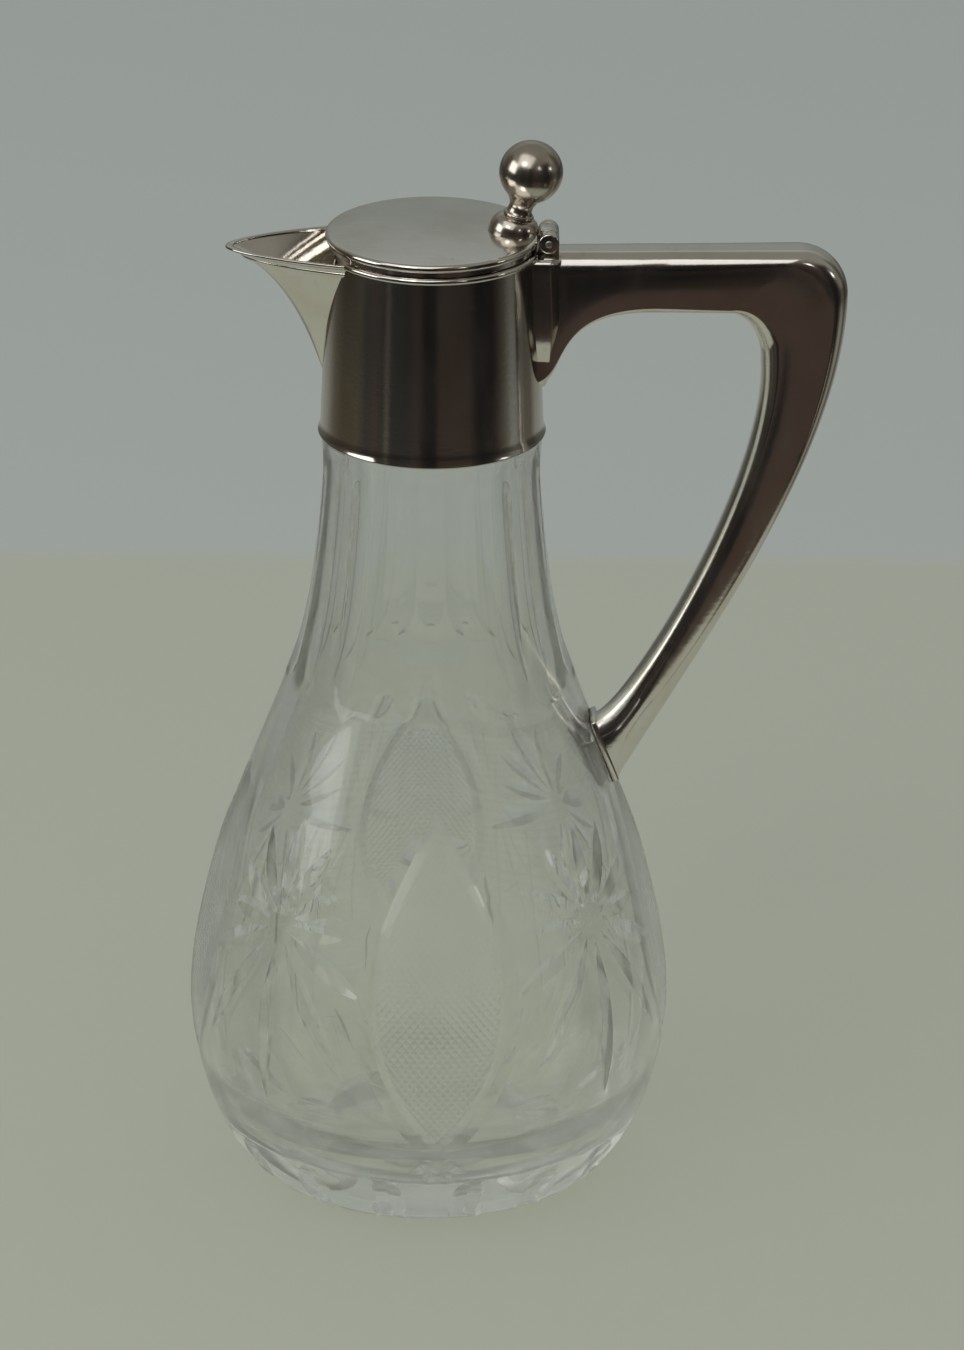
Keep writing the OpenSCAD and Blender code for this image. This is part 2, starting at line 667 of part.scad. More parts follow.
// ---- thumbpiece -----------------------------------------------------------------------------------

module thumb_frame() translate([thumb_x, 0, lid_top_z]) rotate([0, thumb_lean, 0]) children();
thumb_rows = 8;           // conical bands of the foot and of each half of the stem
ring_bead = 0.5;          // radius of the bead that the ring ends in
ring_top = thumb_foot_h + 2 * ring_bead;
waist_up = mix(ring_top, ball_up - ball_r, 0.5);   // where the stem is narrowest

module thumb_foot() color(silver)
    difference() {
        thumb_frame() rotate_extrude() polygon(concat(
            [[0, -beyond / 4], [thumb_foot_r, -beyond / 4]],
            [for (i = [0:thumb_rows]) let (a = 90 * i / thumb_rows)
                [mix(thumb_ring_r - ring_bead, thumb_foot_r, cos(a)), thumb_foot_h * sin(a)]],
            [for (i = [1:thumb_rows]) let (a = -90 + 180 * i / thumb_rows)
                [thumb_ring_r - ring_bead + ring_bead * cos(a), thumb_foot_h + ring_bead * (1 + sin(a))]],
            [[0, ring_top]]));
        lid_blank();
        translate([0, 0, lid_z - beyond]) cube([3 * lid_r, 3 * lid_r, 2 * beyond], center = true);
    }

// The stem narrows from the foot to its waist and spreads again into the ball's underside.
stem_top = ball_up - sqrt(ball_r * ball_r - stem_top_r * stem_top_r) + seam;
module thumb_stem() color(silver)
    difference() {
        thumb_frame() rotate_extrude() polygon(concat(
            [[0, ring_top]],
            [for (i = [0:thumb_rows]) let (t = i / thumb_rows)
                [mix(thumb_ring_r - ring_bead, stem_r, 1 - pow(1 - t, 2)), mix(ring_top, waist_up, t)]],
            [for (i = [1:thumb_rows]) let (t = i / thumb_rows)
                [mix(stem_r, stem_top_r, pow(t, 1.8)), mix(waist_up, stem_top, t)]],
            [[0, stem_top]]));
        thumb_frame() translate([0, 0, ball_up]) sphere(r = ball_r);
    }

module thumb_ball() color(silver) thumb_frame() translate([0, 0, ball_up]) sphere(r = ball_r);

// ---- drawing --------------------------------------------------------------------------------------

glass_body();
plaster_bedding();
deck_ring();
collar_shell();
collar_rim();
spout_shell();
spout_moulding();
handle_plate();
handle_body();
handle_foot_plate();
handle_foot_pad();
hinge_ears();
hinge_pin();
lid_disc();
lid_bezel();
lid_knuckle();
thumb_foot();
thumb_stem();
thumb_ball();
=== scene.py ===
"""Claret jug: a cut-glass body in a plated mount with a beak spout, a bar handle and a hinged lid."""
import logging
import math
from dataclasses import dataclass, field
from enum import Enum
from typing import Callable, Iterable, Mapping, Sequence, Union

import bmesh
import bpy
from mathutils import Matrix, Vector


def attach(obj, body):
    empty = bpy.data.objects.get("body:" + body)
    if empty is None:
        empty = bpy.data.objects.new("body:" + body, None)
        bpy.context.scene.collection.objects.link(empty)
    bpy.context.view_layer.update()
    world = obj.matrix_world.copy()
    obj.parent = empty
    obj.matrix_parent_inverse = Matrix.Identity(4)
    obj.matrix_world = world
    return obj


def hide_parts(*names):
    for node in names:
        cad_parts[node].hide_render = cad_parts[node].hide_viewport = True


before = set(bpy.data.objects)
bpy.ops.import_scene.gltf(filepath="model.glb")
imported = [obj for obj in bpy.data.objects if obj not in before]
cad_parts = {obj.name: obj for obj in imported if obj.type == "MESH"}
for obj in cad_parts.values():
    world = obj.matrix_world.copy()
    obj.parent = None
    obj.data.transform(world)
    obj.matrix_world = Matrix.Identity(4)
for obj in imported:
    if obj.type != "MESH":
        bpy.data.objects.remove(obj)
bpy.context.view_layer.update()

LOG = logging.getLogger("claret_jug")
MM = 0.001
Point = tuple[float, float, float]
Colour = tuple[float, float, float]


# ---- arithmetic on node sockets -----------------------------------------------------------------------


class Field:
    """A number that flows through a node tree, with Python's own arithmetic."""

    def __init__(self, graph: "Graph", socket: bpy.types.NodeSocket) -> None:
        """Wraps an output socket of the graph's tree."""
        self.graph = graph
        self.socket = socket

    def do(self, operation: str, *others: "Number") -> "Field":
        """Runs one Math node.

        Args:
            operation: name of the Math operation.
            others: the second and third operand, as fields or numbers.

        Returns:
            The node's result.
        """
        return self.graph.math(operation, self, *others)

    def __add__(self, other: "Number") -> "Field":
        """self + other."""
        return self.do("ADD", other)

    __radd__ = __add__

    def __mul__(self, other: "Number") -> "Field":
        """self * other."""
        return self.do("MULTIPLY", other)

    __rmul__ = __mul__

    def __sub__(self, other: "Number") -> "Field":
        """self - other."""
        return self.do("SUBTRACT", other)

    def __rsub__(self, other: "Number") -> "Field":
        """other - self."""
        return self.graph.math("SUBTRACT", other, self)

    def __truediv__(self, other: "Number") -> "Field":
        """self / other."""
        return self.do("DIVIDE", other)

    def __pow__(self, other: "Number") -> "Field":
        """self to the power of other."""
        return self.do("POWER", other)

    def __mod__(self, other: "Number") -> "Field":
        """Remainder of self / other, never negative."""
        return self.do("FLOORED_MODULO", other)

    def __abs__(self) -> "Field":
        """Size without sign."""
        return self.do("ABSOLUTE")

    def __neg__(self) -> "Field":
        """0 - self."""
        return self.graph.math("SUBTRACT", 0.0, self)

    def sin(self) -> "Field":
        """Sine of an angle in radians."""
        return self.do("SINE")

    def cos(self) -> "Field":
        """Cosine of an angle in radians."""
        return self.do("COSINE")

    def floor(self) -> "Field":
        """Largest whole number that isn't above self."""
        return self.do("FLOOR")

    def least(self, other: "Number") -> "Field":
        """The smaller of self and other."""
        return self.do("MINIMUM", other)

    def most(self, other: "Number") -> "Field":
        """The larger of self and other."""
        return self.do("MAXIMUM", other)

    def above(self, other: "Number") -> "Field":
        """1 where self is greater than other, else 0."""
        return self.do("GREATER_THAN", other)

    def ease(self, low: "Number", high: "Number") -> "Field":
        """A smooth step.

        Args:
            low: the value at which the step starts.
            high: the value at which it ends.

        Returns:
            0 up to low, 1 from high on, and a soft curve between.
        """
        t = ((self - low) / (high - low)).most(0.0).least(1.0)
        return t * t * (3.0 - 2.0 * t)


Number = Union[Field, float, int]
Value = Union[Field, bpy.types.NodeSocket, float, int, bool, str, Sequence[float], bpy.types.Material]


class Graph:
    """A node tree that is written one node at a time."""

    def __init__(self, tree: bpy.types.NodeTree) -> None:
        """Empties the tree and starts on it."""
        self.tree = tree
        tree.nodes.clear()

    def node(self, kind: str, settings: Mapping[str, object] | None = None,
             sockets: Mapping[Union[str, int], Value] | None = None) -> bpy.types.Node:
        """Adds one node.

        Args:
            kind: the node's type name.
            settings: its properties.
            sockets: values or links of its inputs, by identifier, name or place.

        Returns:
            The new node.
        """
        node = self.tree.nodes.new(kind)
        for name, value in (settings or {}).items():
            setattr(node, name, value)
        for key, value in (sockets or {}).items():
            target = self.find(node.inputs, key)
            if isinstance(value, Field):
                value = value.socket
            if isinstance(value, bpy.types.NodeSocket):
                self.tree.links.new(value, target)
            else:
                target.default_value = value
        return node

    @staticmethod
    def find(sockets: Iterable[bpy.types.NodeSocket], key: Union[str, int]) -> bpy.types.NodeSocket:
        """The socket with that place, identifier or name, and an enabled one before a hidden one."""
        listed = list(sockets)
        if isinstance(key, int):
            return listed[key]
        named = [s for s in listed if key in (s.identifier, s.name)]
        return next((s for s in named if s.enabled), named[0])

    def field(self, node: bpy.types.Node, key: Union[str, int] = 0) -> Field:
        """An output of a node as a field."""
        return Field(self, self.find(node.outputs, key))

    def math(self, operation: str, *values: Number) -> Field:
        """A Math node on fields and numbers."""
        return self.field(self.node("ShaderNodeMath", {"operation": operation}, dict(enumerate(values))))

    def vector(self, operation: str, *values: Value, scale: Number | None = None) -> bpy.types.NodeSocket:
        """A Vector Math node.

        Args:
            operation: name of the operation.
            values: its vector operands.
            scale: the factor of the SCALE operation.

        Returns:
            The resulting vector's socket.
        """
        sockets: dict[Union[str, int], Value] = dict(enumerate(values))
        if scale is not None:
            sockets["Scale"] = scale
        return self.node("ShaderNodeVectorMath", {"operation": operation}, sockets).outputs[0]

    def combine(self, x: Number, y: Number, z: Number) -> bpy.types.NodeSocket:
        """A vector from three numbers."""
        return self.node("ShaderNodeCombineXYZ", None, {0: x, 1: y, 2: z}).outputs[0]

    def split(self, vector: bpy.types.NodeSocket) -> tuple[Field, Field, Field]:
        """The three numbers of a vector."""
        parts = self.node("ShaderNodeSeparateXYZ", None, {0: vector})
        return (self.field(parts, "X"), self.field(parts, "Y"), self.field(parts, "Z"))

    def blend(self, amount: Number, first: Value, second: Value) -> bpy.types.NodeSocket:
        """A colour between two, by amount."""
        return self.find(self.node("ShaderNodeMix", {"data_type": "RGBA"}, {
            "Factor_Float": amount, "A_Color": first, "B_Color": second}).outputs, "Result_Color")

    def ramp(self, place: Number, stops: Sequence[tuple[float, Colour]]) -> bpy.types.NodeSocket:
        """A colour that changes with a number.

        Args:
            place: the number, from 0 to 1.
            stops: place and colour of each stop, in order.

        Returns:
            The colour's socket.
        """
        node = self.node("ShaderNodeValToRGB")
        points = node.color_ramp.elements
        points.remove(points[1])
        points[0].position = stops[0][0]
        points[0].color = rgba(stops[0][1])
        for at, colour in stops[1:]:
            points.new(at).color = rgba(colour)
        self.tree.links.new(place.socket, node.inputs["Fac"])
        return node.outputs["Color"]


# ---- finishes -----------------------------------------------------------------------------------------


class Finish(Graph):
    """A material under way: its nodes, its coordinates and its shader."""

    def __init__(self, name: str) -> None:
        """Makes the material with one Principled shader."""
        self.material = bpy.data.materials.new(name)
        self.material.use_nodes = True
        super().__init__(self.material.node_tree)
        self.shader = self.node("ShaderNodeBsdfPrincipled")
        self.output = self.node("ShaderNodeOutputMaterial", None, {"Surface": self.shader.outputs[0]})
        self.place = self.node("ShaderNodeTexCoord").outputs["Object"]

    def set(self, **values: Value) -> None:
        """Sets or links inputs of the shader; a name's underscores stand for spaces."""
        for key, value in values.items():
            target = self.shader.inputs[key.replace("_", " ")]
            if isinstance(value, Field):
                value = value.socket
            if isinstance(value, bpy.types.NodeSocket):
                self.tree.links.new(value, target)
            else:
                target.default_value = value

    def stretched(self, scale: Point) -> bpy.types.NodeSocket:
        """Object coordinates, stretched along each axis."""
        return self.node("ShaderNodeMapping", None, {"Vector": self.place, "Scale": scale}).outputs[0]

    def noise(self, scale: float, detail: float = 3.0, rough: float = 0.5, along: Point = (1, 1, 1)) -> Field:
        """Cloudy variation.

        Args:
            scale: lumps a metre.
            detail: octaves.
            rough: weight of the fine octaves.
            along: stretch of the coordinates.

        Returns:
            A field of about 0.3 to 0.7.
        """
        return self.field(self.node("ShaderNodeTexNoise", None, {
            "Vector": self.stretched(along), "Scale": scale, "Detail": detail, "Roughness": rough}), "Fac")

    def bump(self, height: Number, distance: float, strength: float = 1.0,
             under: bpy.types.NodeSocket | None = None) -> bpy.types.NodeSocket:
        """A normal from a height field.

        Args:
            height: the height, from 0 to 1.
            distance: metres that a height of 1 stands for.
            strength: share of the effect.
            under: a normal to add it to.

        Returns:
            The normal's socket.
        """
        sockets: dict[Union[str, int], Value] = {"Height": height, "Distance": distance, "Strength": strength}
        if under is not None:
            sockets["Normal"] = under
        return self.node("ShaderNodeBump", None, sockets).outputs[0]


def rgba(colour: Colour) -> tuple[float, float, float, float]:
    """A colour with full cover."""
    return (*colour, 1.0)


@dataclass(frozen=True)
class PlatedMetal:
    """Silver plate: bright where it is polished by rubbing, warm with tarnish where it isn't."""

    name: str
    bright: Colour = (0.80, 0.765, 0.71)
    tarnish: Colour = (0.60, 0.50, 0.37)
    tarnish_share: float = 0.35
    roughness: float = 0.11
    smear: float = 0.10
    scratch: float = 0.00002

    def make(self) -> bpy.types.Material:
        """Builds the material.

        Returns:
            The material.
        """
        f = Finish(self.name)
        cloud = f.noise(38, 4, 0.6).ease(0.42, 0.68)
        spots = f.noise(310, 3, 0.65).ease(0.60, 0.74)
        stain = (cloud * self.tarnish_share + spots * 0.25).least(1.0)
        f.set(Metallic=1.0, Base_Color=f.blend(stain, rgba(self.bright), rgba(self.tarnish)))
        rub = f.noise(55, 5, 0.7, (1, 1, 0.35))
        f.set(Roughness=(self.roughness + self.smear * rub.ease(0.4, 0.75) + 0.08 * spots).least(0.6))
        lines = f.noise(900, 2, 0.5, (0.12, 1, 1)) + f.noise(1100, 2, 0.5, (1, 0.15, 0.8))
        dents = f.bump(f.noise(26, 1, 0.3), 0.0002, 0.5)
        f.set(Normal=f.bump(lines, self.scratch, 0.6, dents))
        return f.material


@dataclass(frozen=True)
class Panels:
    """Where the pointed panels of fine cutting lie on the belly, in millimetres and degrees."""

    count: int = 4
    turn: float = 2.5
    half: float = 18.0
    low_z: float = 28.0
    top_z: float = 114.0
    widest: float = 0.52

    def edge(self, along: Field) -> Field:
        """Half width as a share, from 0 at a panel's points to 1 where it is widest."""
        return 1.0 - (abs(along - self.widest) / self.widest).least(1.0) ** 2.0

    def angle(self, number: Field) -> Field:
        """Direction of a panel's middle line, or between two panels for a number and a half."""
        return number * (math.tau / self.count) + math.radians(self.turn)


@dataclass(frozen=True)
class LeadGlass:
    """Clear lead glass with a trace of grey in its body, fine wheel marks, and matt hatched panels.

    A share of the light goes straight through it, and so does all that makes shadows and soft light, so the
    table behind it stays as bright as it is round it.
    """

    name: str
    tint: Colour = (0.985, 0.99, 0.975)
    index: float = 1.50
    haze: float = 0.03
    matt: float = 0.22
    clear: Colour = (0.955, 0.96, 0.945)
    clear_share: float = 0.2
    panels: Panels = Panels()
    outer_r: float = 0.034

    def panel(self, f: Finish) -> Field:
        """1 inside the pointed panels, 0 elsewhere and on the inner wall, inside outer_r.

        Args:
            f: the material under way.

        Returns:
            The mask.
        """
        x, y, z = f.split(f.place)
        p = self.panels
        pitch = math.tau / p.count
        across = abs((f.math("ARCTAN2", y, x) - math.radians(p.turn) + pitch / 2) % pitch - pitch / 2)
        along = (z - p.low_z * MM) / ((p.top_z - p.low_z) * MM)
        outside = ((x * x + y * y) ** 0.5 - self.outer_r).above(0.0)
        return (p.edge(along) * math.radians(p.half) - across).ease(0.01, 0.03) * outside

    def make(self) -> bpy.types.Material:
        """Builds the material.

        Returns:
            The material.
        """
        f = Finish(self.name)
        film = f.noise(60, 4, 0.6)
        f.set(Transmission_Weight=1.0, IOR=self.index,
              Base_Color=f.blend(film.ease(0.35, 0.75), rgba(self.tint),
                                 rgba(tuple(0.98 * c for c in self.tint))))
        f.set(Roughness=0.004 + self.haze * f.noise(90, 4, 0.6).ease(0.45, 0.8) + self.matt * self.panel(f))
        ripple = f.bump(f.noise(45, 2, 0.4, (1, 1, 0.4)), 0.00008, 0.5)
        f.set(Normal=f.bump(f.noise(1400, 2, 0.5), 0.000004, 0.5, ripple))
        path = f.node("ShaderNodeLightPath")
        soft = f.field(path, "Is Shadow Ray").most(f.field(path, "Is Diffuse Ray"))
        clear = f.node("ShaderNodeBsdfTransparent", None, {"Color": rgba(self.clear)})
        share = self.clear_share + (1.0 - self.clear_share) * soft
        both = f.node("ShaderNodeMixShader", None, {0: share, 1: f.shader.outputs[0], 2: clear.outputs[0]})
        f.tree.links.new(both.outputs[0], f.output.inputs["Surface"])
        return f.material


@dataclass(frozen=True)
class Granular:
    """A matt filler such as plaster or cork: two tones in grains of one size."""

    name: str
    light: Colour
    dark: Colour
    grain: float
    relief: float = 0.0002

    def make(self) -> bpy.types.Material:
        """Builds the material.

        Returns:
            The material.
        """
        f = Finish(self.name)
        grains = f.node("ShaderNodeTexVoronoi", None, {"Vector": f.place, "Scale": self.grain})
        cells = f.field(grains, "Distance")
        speck = (f.noise(self.grain * 0.8, 3, 0.6) + cells * 0.4).ease(0.45, 0.85)
        f.set(Base_Color=f.blend(speck, rgba(self.light), rgba(self.dark)), Roughness=0.78 + 0.15 * speck,
              Normal=f.bump(cells, self.relief))
        return f.material


# ---- mesh work ----------------------------------------------------------------------------------------


def new_object(name: str, points: Sequence[Point], faces: Sequence[Sequence[int]]) -> bpy.types.Object:
    """Makes a mesh object from points in millimetres.

    Args:
        name: the object's name.
        points: its points.
        faces: its faces as places in points.

    Returns:
        The object, with doubles merged and faces turned outward.
    """
    mesh = bpy.data.meshes.new(name)
    mesh.from_pydata([Vector(p) * MM for p in points], [], faces)
    work = bmesh.new()
    work.from_mesh(mesh)
    bmesh.ops.remove_doubles(work, verts=work.verts, dist=1e-7)
    bmesh.ops.recalc_face_normals(work, faces=work.faces)
    work.to_mesh(mesh)
    work.free()
    piece = bpy.data.objects.new(name, mesh)
    bpy.context.scene.collection.objects.link(piece)
    return piece


def grid_faces(rows: int, columns: int, wrap_rows: bool = False) -> list[list[int]]:
    """Quads between closed rows of points.

    Args:
        rows: number of rows.
        columns: points in a row, whose end joins its start.
        wrap_rows: joins the last row to the first.

    Returns:
        The faces.
    """
    faces = []
    for i in range(rows if wrap_rows else rows - 1):
        a, b = i * columns, (i + 1) % rows * columns
        for j in range(columns):
            k = (j + 1) % columns
            faces.append([a + j, a + k, b + k, b + j])
    return faces


def revolve(name: str, profile: Sequence[tuple[float, float]], columns: int, closed: bool = False,
            place: Matrix | None = None) -> bpy.types.Object:
    """Turns a profile about the Z axis.

    Args:
        name: the object's name.
        profile: (radius, height) points in millimetres.
        columns: steps round the axis.
        closed: the profile is a loop, and not a line from axis to axis.
        place: where to put it, in millimetres.

    Returns:
        The object.
    """
    angles = [math.tau * j / columns for j in range(columns)]
    points = [Vector((r * math.cos(a), r * math.sin(a), z)) for r, z in profile for a in angles]
    if place is not None:
        points = [place @ p for p in points]
    return new_object(name, points, grid_faces(len(profile), columns, closed))


def loft(name: str, rings: Sequence[Sequence[Point]]) -> bpy.types.Object:
    """A closed solid through rings of points, with flat ends."""
    count = len(rings[0])
    faces = grid_faces(len(rings), count)
    faces += [list(range(count)), [(len(rings) - 1) * count + j for j in range(count)]]
    return new_object(name, [p for ring in rings for p in ring], faces)


def block(name: str, low: Point, high: Point, bevel: float = 0.0,
          place: Matrix | None = None) -> bpy.types.Object:
    """A box between two corners with rounded edges.

    Args:
        name: the object's name.
        low: its lowest corner in millimetres.
        high: its highest corner in millimetres.
        bevel: radius of its edges.
        place: where to put it, in millimetres.

    Returns:
        The object.
    """
    (x0, y0, z0), (x1, y1, z1) = low, high
    corners = [Vector((x, y, z)) for x in (x0, x1) for y in (y0, y1) for z in (z0, z1)]
    if place is not None:
        corners = [place @ c for c in corners]
    piece = new_object(name, corners, [[0, 1, 3, 2], [4, 6, 7, 5], [0, 4, 5, 1], [2, 3, 7, 6], [0, 2, 6, 4],
                                       [1, 5, 7, 3]])
    if bevel:
        edge = piece.modifiers.new("edge", "BEVEL")
        edge.width, edge.segments, edge.limit_method = bevel * MM, 4, "NONE"
        apply_modifiers(piece)
    return piece


def apply_modifiers(piece: bpy.types.Object) -> None:
    """Makes an object's modifiers part of its mesh."""
    graph = bpy.context.evaluated_depsgraph_get()
    mesh = bpy.data.meshes.new_from_object(piece.evaluated_get(graph))
    piece.modifiers.clear()
    piece.data = mesh


def carve(piece: bpy.types.Object, cutters: Iterable[bpy.types.Object],
          operation: str = "DIFFERENCE") -> None:
    """Cuts solids out of a piece, or adds them to it, and deletes them.

    Args:
        piece: the closed piece.
        cutters: the closed solids.
        operation: what the Boolean does.
    """
    tools = list(cutters)
    for tool in tools:
        step = piece.modifiers.new("cut", "BOOLEAN")
        step.operation, step.object, step.solver = operation, tool, "MANIFOLD"
    apply_modifiers(piece)
    for tool in tools:
        bpy.data.objects.remove(tool)


def smooth(piece: bpy.types.Object, angle: float = 28.0) -> bpy.types.Object:
    """Shades a piece smooth up to an edge angle in degrees."""
    mesh = piece.data
    mesh.polygons.foreach_set("use_smooth", [True] * len(mesh.polygons))
    mesh.set_sharp_from_angle(angle=math.radians(angle))
    return piece


class Body(Enum):
    """The rigid bodies of the jug."""

    JUG = "jug"
    LID = "lid"


class Slot(Enum):
    """The finishes, by name."""

    GLASS = "glass"
    PLATE = "silver_plate"
    PLASTER = "plaster"
    CORK = "cork"


def hand_over(piece: bpy.types.Object, body: Body, slot: Slot, material: bpy.types.Material,
              *nodes: str) -> None:
    """Gives a finished piece its finish and its place in the model.

    Args:
        piece: the piece, with its place in its mesh.
        body: the body that it moves with.
        slot: the piece's finish by name; not used.
        material: its material.
        nodes: the solids that it stands for.
    """
    piece.data.materials.clear()
    piece.data.materials.append(material)
    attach(piece, body.value)
    if nodes:
        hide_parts(*nodes)
    LOG.info("%s: %d faces on %s", piece.name, len(piece.data.polygons), body.value)


def mix(a: float, b: float, t: float) -> float:
    """The value a share t of the way from a to b."""
    return a + (b - a) * t


def bezier(controls: Sequence[tuple[float, float]], t: float) -> tuple[float, float]:
    """A point of a cubic curve through four control points."""
    weights = ((1 - t) ** 3, 3 * (1 - t) ** 2 * t, 3 * (1 - t) * t * t, t ** 3)
    x, y = (sum(w * c[axis] for w, c in zip(weights, controls)) for axis in (0, 1))
    return (x, y)


# ---- cut glass ----------------------------------------------------------------------------------------


class Wheel(Enum):
    """Edges of the cutting wheels: the corners of their section and its radius in metres."""

    MITRE = (3, 0.004)
    ROUND = (20, 0.011)


@dataclass(frozen=True)
class Stroke:
    """One wheel stroke as fields: its angle about the axis, its height and its depth in the glass."""

    angle: Field
    height: Field
    depth: Field


@dataclass
class CutGlass:
    """The glass body: a blown blank, cut with flutes, panels, stars, hatching and olives."""

    glass_h: float = 204.5
    deck_z: float = 216.5
    tenon_r: float = 25.0
    bore_top_r: float = 21.8
    wall: float = 6.0
    foot_r: float = 36.0
    heel_r: float = 47.5
    heel_z: float = 6.0
    belly_r: float = 62.0
    belly_z: float = 51.0
    ring_r: float = 37.0
    ring_z: float = 138.0
    neck_r: float = 27.8
    punt_depth: float = 3.0
    foot_ring: float = 5.0
    floor_z: float = 13.0
    bowl_h: float = 24.0
    skin: float = 0.02
    columns: int = 192
    belly_rows: int = 84
    neck_rows: int = 84
    bore_rows: int = 70
    floor_rows: int = 24
    flutes: int = 12
    flute_margin: float = 3.0
    runout: float = 7.0
    panels: Panels = Panels()
    panel_r: float = 57.0
    border_depth: float = 1.35
    mitre_angle: float = 132.0
    crease: float = 16.0
    lift: float = 0.4
    ray_lift: float = 0.3
    hatch_pitch: float = 2.6
    hatch_rise: float = 24.0
    hatch_depth: float = 0.24
    hatch_margin: float = 1.7
    hatch_runout: float = 0.9
    hatch_lift: float = 0.5
    star_z: float = 86.0
    star_eye: float = 2.5
    star_rays: int = 12
    star_side: float = 20.0
    star_up: float = 27.0
    star_down: float = 50.0
    star_depth: float = 1.2
    star_bias: float = 1.4
    heel_cuts: int = 16
    heel_depth: float = 1.4
    heel_cut_z: float = 0.5
    heel_cut_len: float = 21.0
    fan_rays: int = 4
    fan_r: float = 58.0
    fan_eye: float = 0.5
    fan_len: float = 9.0
    fan_spread: float = 1.9
    fan_depth: float = 1.0
    foot_z: float = 117.5
    foot_len: float = 17.5
    foot_w: float = 11.0
    foot_sink: float = 1.2
    foot_margin: float = 0.6
    probe: float = 0.2
    probe_len: float = 0.3
    given: list[tuple[str, str, float]] = field(default_factory=list)

    def stations(self) -> list[tuple[float, float]]:
        """Height and radius of the points that the outline passes through."""
        return [(0, self.foot_r), (self.heel_z, self.heel_r),
                (mix(self.heel_z, self.belly_z, 0.4), mix(self.heel_r, self.belly_r, 0.7)),
                (self.belly_z, self.belly_r),
                (mix(self.belly_z, self.ring_z, 0.42), mix(self.ring_r, self.belly_r, 0.74)),
                (mix(self.belly_z, self.ring_z, 0.72), mix(self.ring_r, self.belly_r, 0.36)),
                (self.ring_z, self.ring_r),
                (mix(self.ring_z, self.glass_h, 0.34), mix(self.neck_r, self.ring_r, 0.43)),
                (self.glass_h, self.neck_r)]

    def radius(self, z: float) -> float:
        """Outer radius of the blank at a height."""
        s = self.stations()

        def chord(a: int, b: int) -> float:
            """Slope between two stations."""
            return (s[b][1] - s[a][1]) / (s[b][0] - s[a][0])

        def grade(i: int) -> float:
            """Slope of the outline at a station."""
            if i == 0:
                return 2 * chord(0, 1) - chord(0, 2)
            if i == len(s) - 1:
                return 2 * chord(i - 1, i) - chord(i - 2, i)
            return chord(i - 1, i + 1)

        i = next((k for k in range(len(s) - 2) if z < s[k + 1][0]), len(s) - 2)
        h = s[i + 1][0] - s[i][0]
        t = (z - s[i][0]) / h
        return (s[i][1] * (1 + 2 * t) * (1 - t) ** 2 + s[i + 1][1] * t * t * (3 - 2 * t)
                + h * grade(i) * t * (1 - t) ** 2 - h * grade(i + 1) * t * t * (1 - t))

    def seat_frame(self) -> Matrix:
        """Where the handle's foot stands: X points out of the glass and Z up along it."""
        half = self.foot_len / 2
        lean = math.atan((self.radius(self.foot_z - half) - self.radius(self.foot_z + half)) / self.foot_len)
        origin = (self.radius(self.foot_z) - self.foot_sink, 0.0, self.foot_z)
        return Matrix.Translation(origin) @ Matrix.Rotation(-lean, 4, "Y")

    def fluted(self, z: float, r: float, angle: float) -> float:
        """Radius after the flat flutes down the neck are cut.

        Args:
            z: the height.
            r: the radius before.
            angle: the direction in radians.

        Returns:
            The radius.
        """
        top = self.glass_h - self.flute_margin
        run = min(1.0, (z - self.ring_z) / self.runout, (top - z) / self.runout)
        if run <= 0:
            return r
        half = math.pi / self.flutes
        across = (angle + half) % (2 * half) - half
        return min(r, r * mix(1.0, math.cos(half), math.sqrt(run)) / math.cos(across))

    def blank(self) -> bpy.types.Object:
        """The blown blank with its cavity and its fluted neck, before the belly is cut."""
        heights = [self.ring_z * k / self.belly_rows for k in range(self.belly_rows + 1)]
        heights += [mix(self.ring_z, self.glass_h, k / self.neck_rows) for k in range(1, self.neck_rows + 1)]
        outer = [(self.radius(z) - self.skin, z) for z in heights]
        bowl_top = self.floor_z + self.bowl_h
        bore = [(self.radius(z) - self.wall, z)
                for z in (mix(self.glass_h, bowl_top, k / self.bore_rows) for k in range(self.bore_rows + 1))]
        r, n = self.radius(bowl_top) - self.wall, self.floor_rows
        bowl = [(r * math.cos(a), bowl_top - self.bowl_h * math.sin(a))
                for a in (math.pi * k / (2 * n) for k in range(1, n + 1))]
        rim = self.foot_r - self.foot_ring
        profile = [(rim * k / n, self.punt_depth * (1 - (k / n) ** 2)) for k in range(n)] + [(rim, 0)]
        profile += outer + [(self.tenon_r, self.glass_h), (self.tenon_r, self.deck_z)]
        profile += [(self.bore_top_r, self.deck_z)] + bore + bowl
        piece = revolve("cut_glass", profile, self.columns)
        for v in piece.data.vertices:
            r, z = math.hypot(v.co.x, v.co.y) / MM, v.co.z / MM
            if self.ring_z < z < self.glass_h - 0.01 and r > self.radius(z) - 0.5 * self.wall:
                share = self.fluted(z, r, math.atan2(v.co.y, v.co.x)) / r
                v.co.x, v.co.y = v.co.x * share, v.co.y * share
        across, along = self.foot_w / 2 + self.foot_margin, self.foot_len / 2 + self.foot_margin
        carve(piece, [block("seat", (0, -across, -along), (20, across, along), place=self.seat_frame())])
        return piece

    # The rules of the cuts. Each takes the stroke's number and the way along it from 0 to 1.

    def border(self, number: Field, t: Field) -> Stroke:
        """The two curved cuts that border a panel."""
        side = (number % 2.0) * 2.0 - 1.0
        p = self.panels
        angle = p.angle((number / 2.0).floor()) + side * p.edge(t) * math.radians(p.half)
        ends = t.least(1.0 - t).ease(0.0, 0.06)
        return Stroke(angle, p.low_z + t * (p.top_z - p.low_z),
                      ends * (self.border_depth + self.lift) - self.lift)

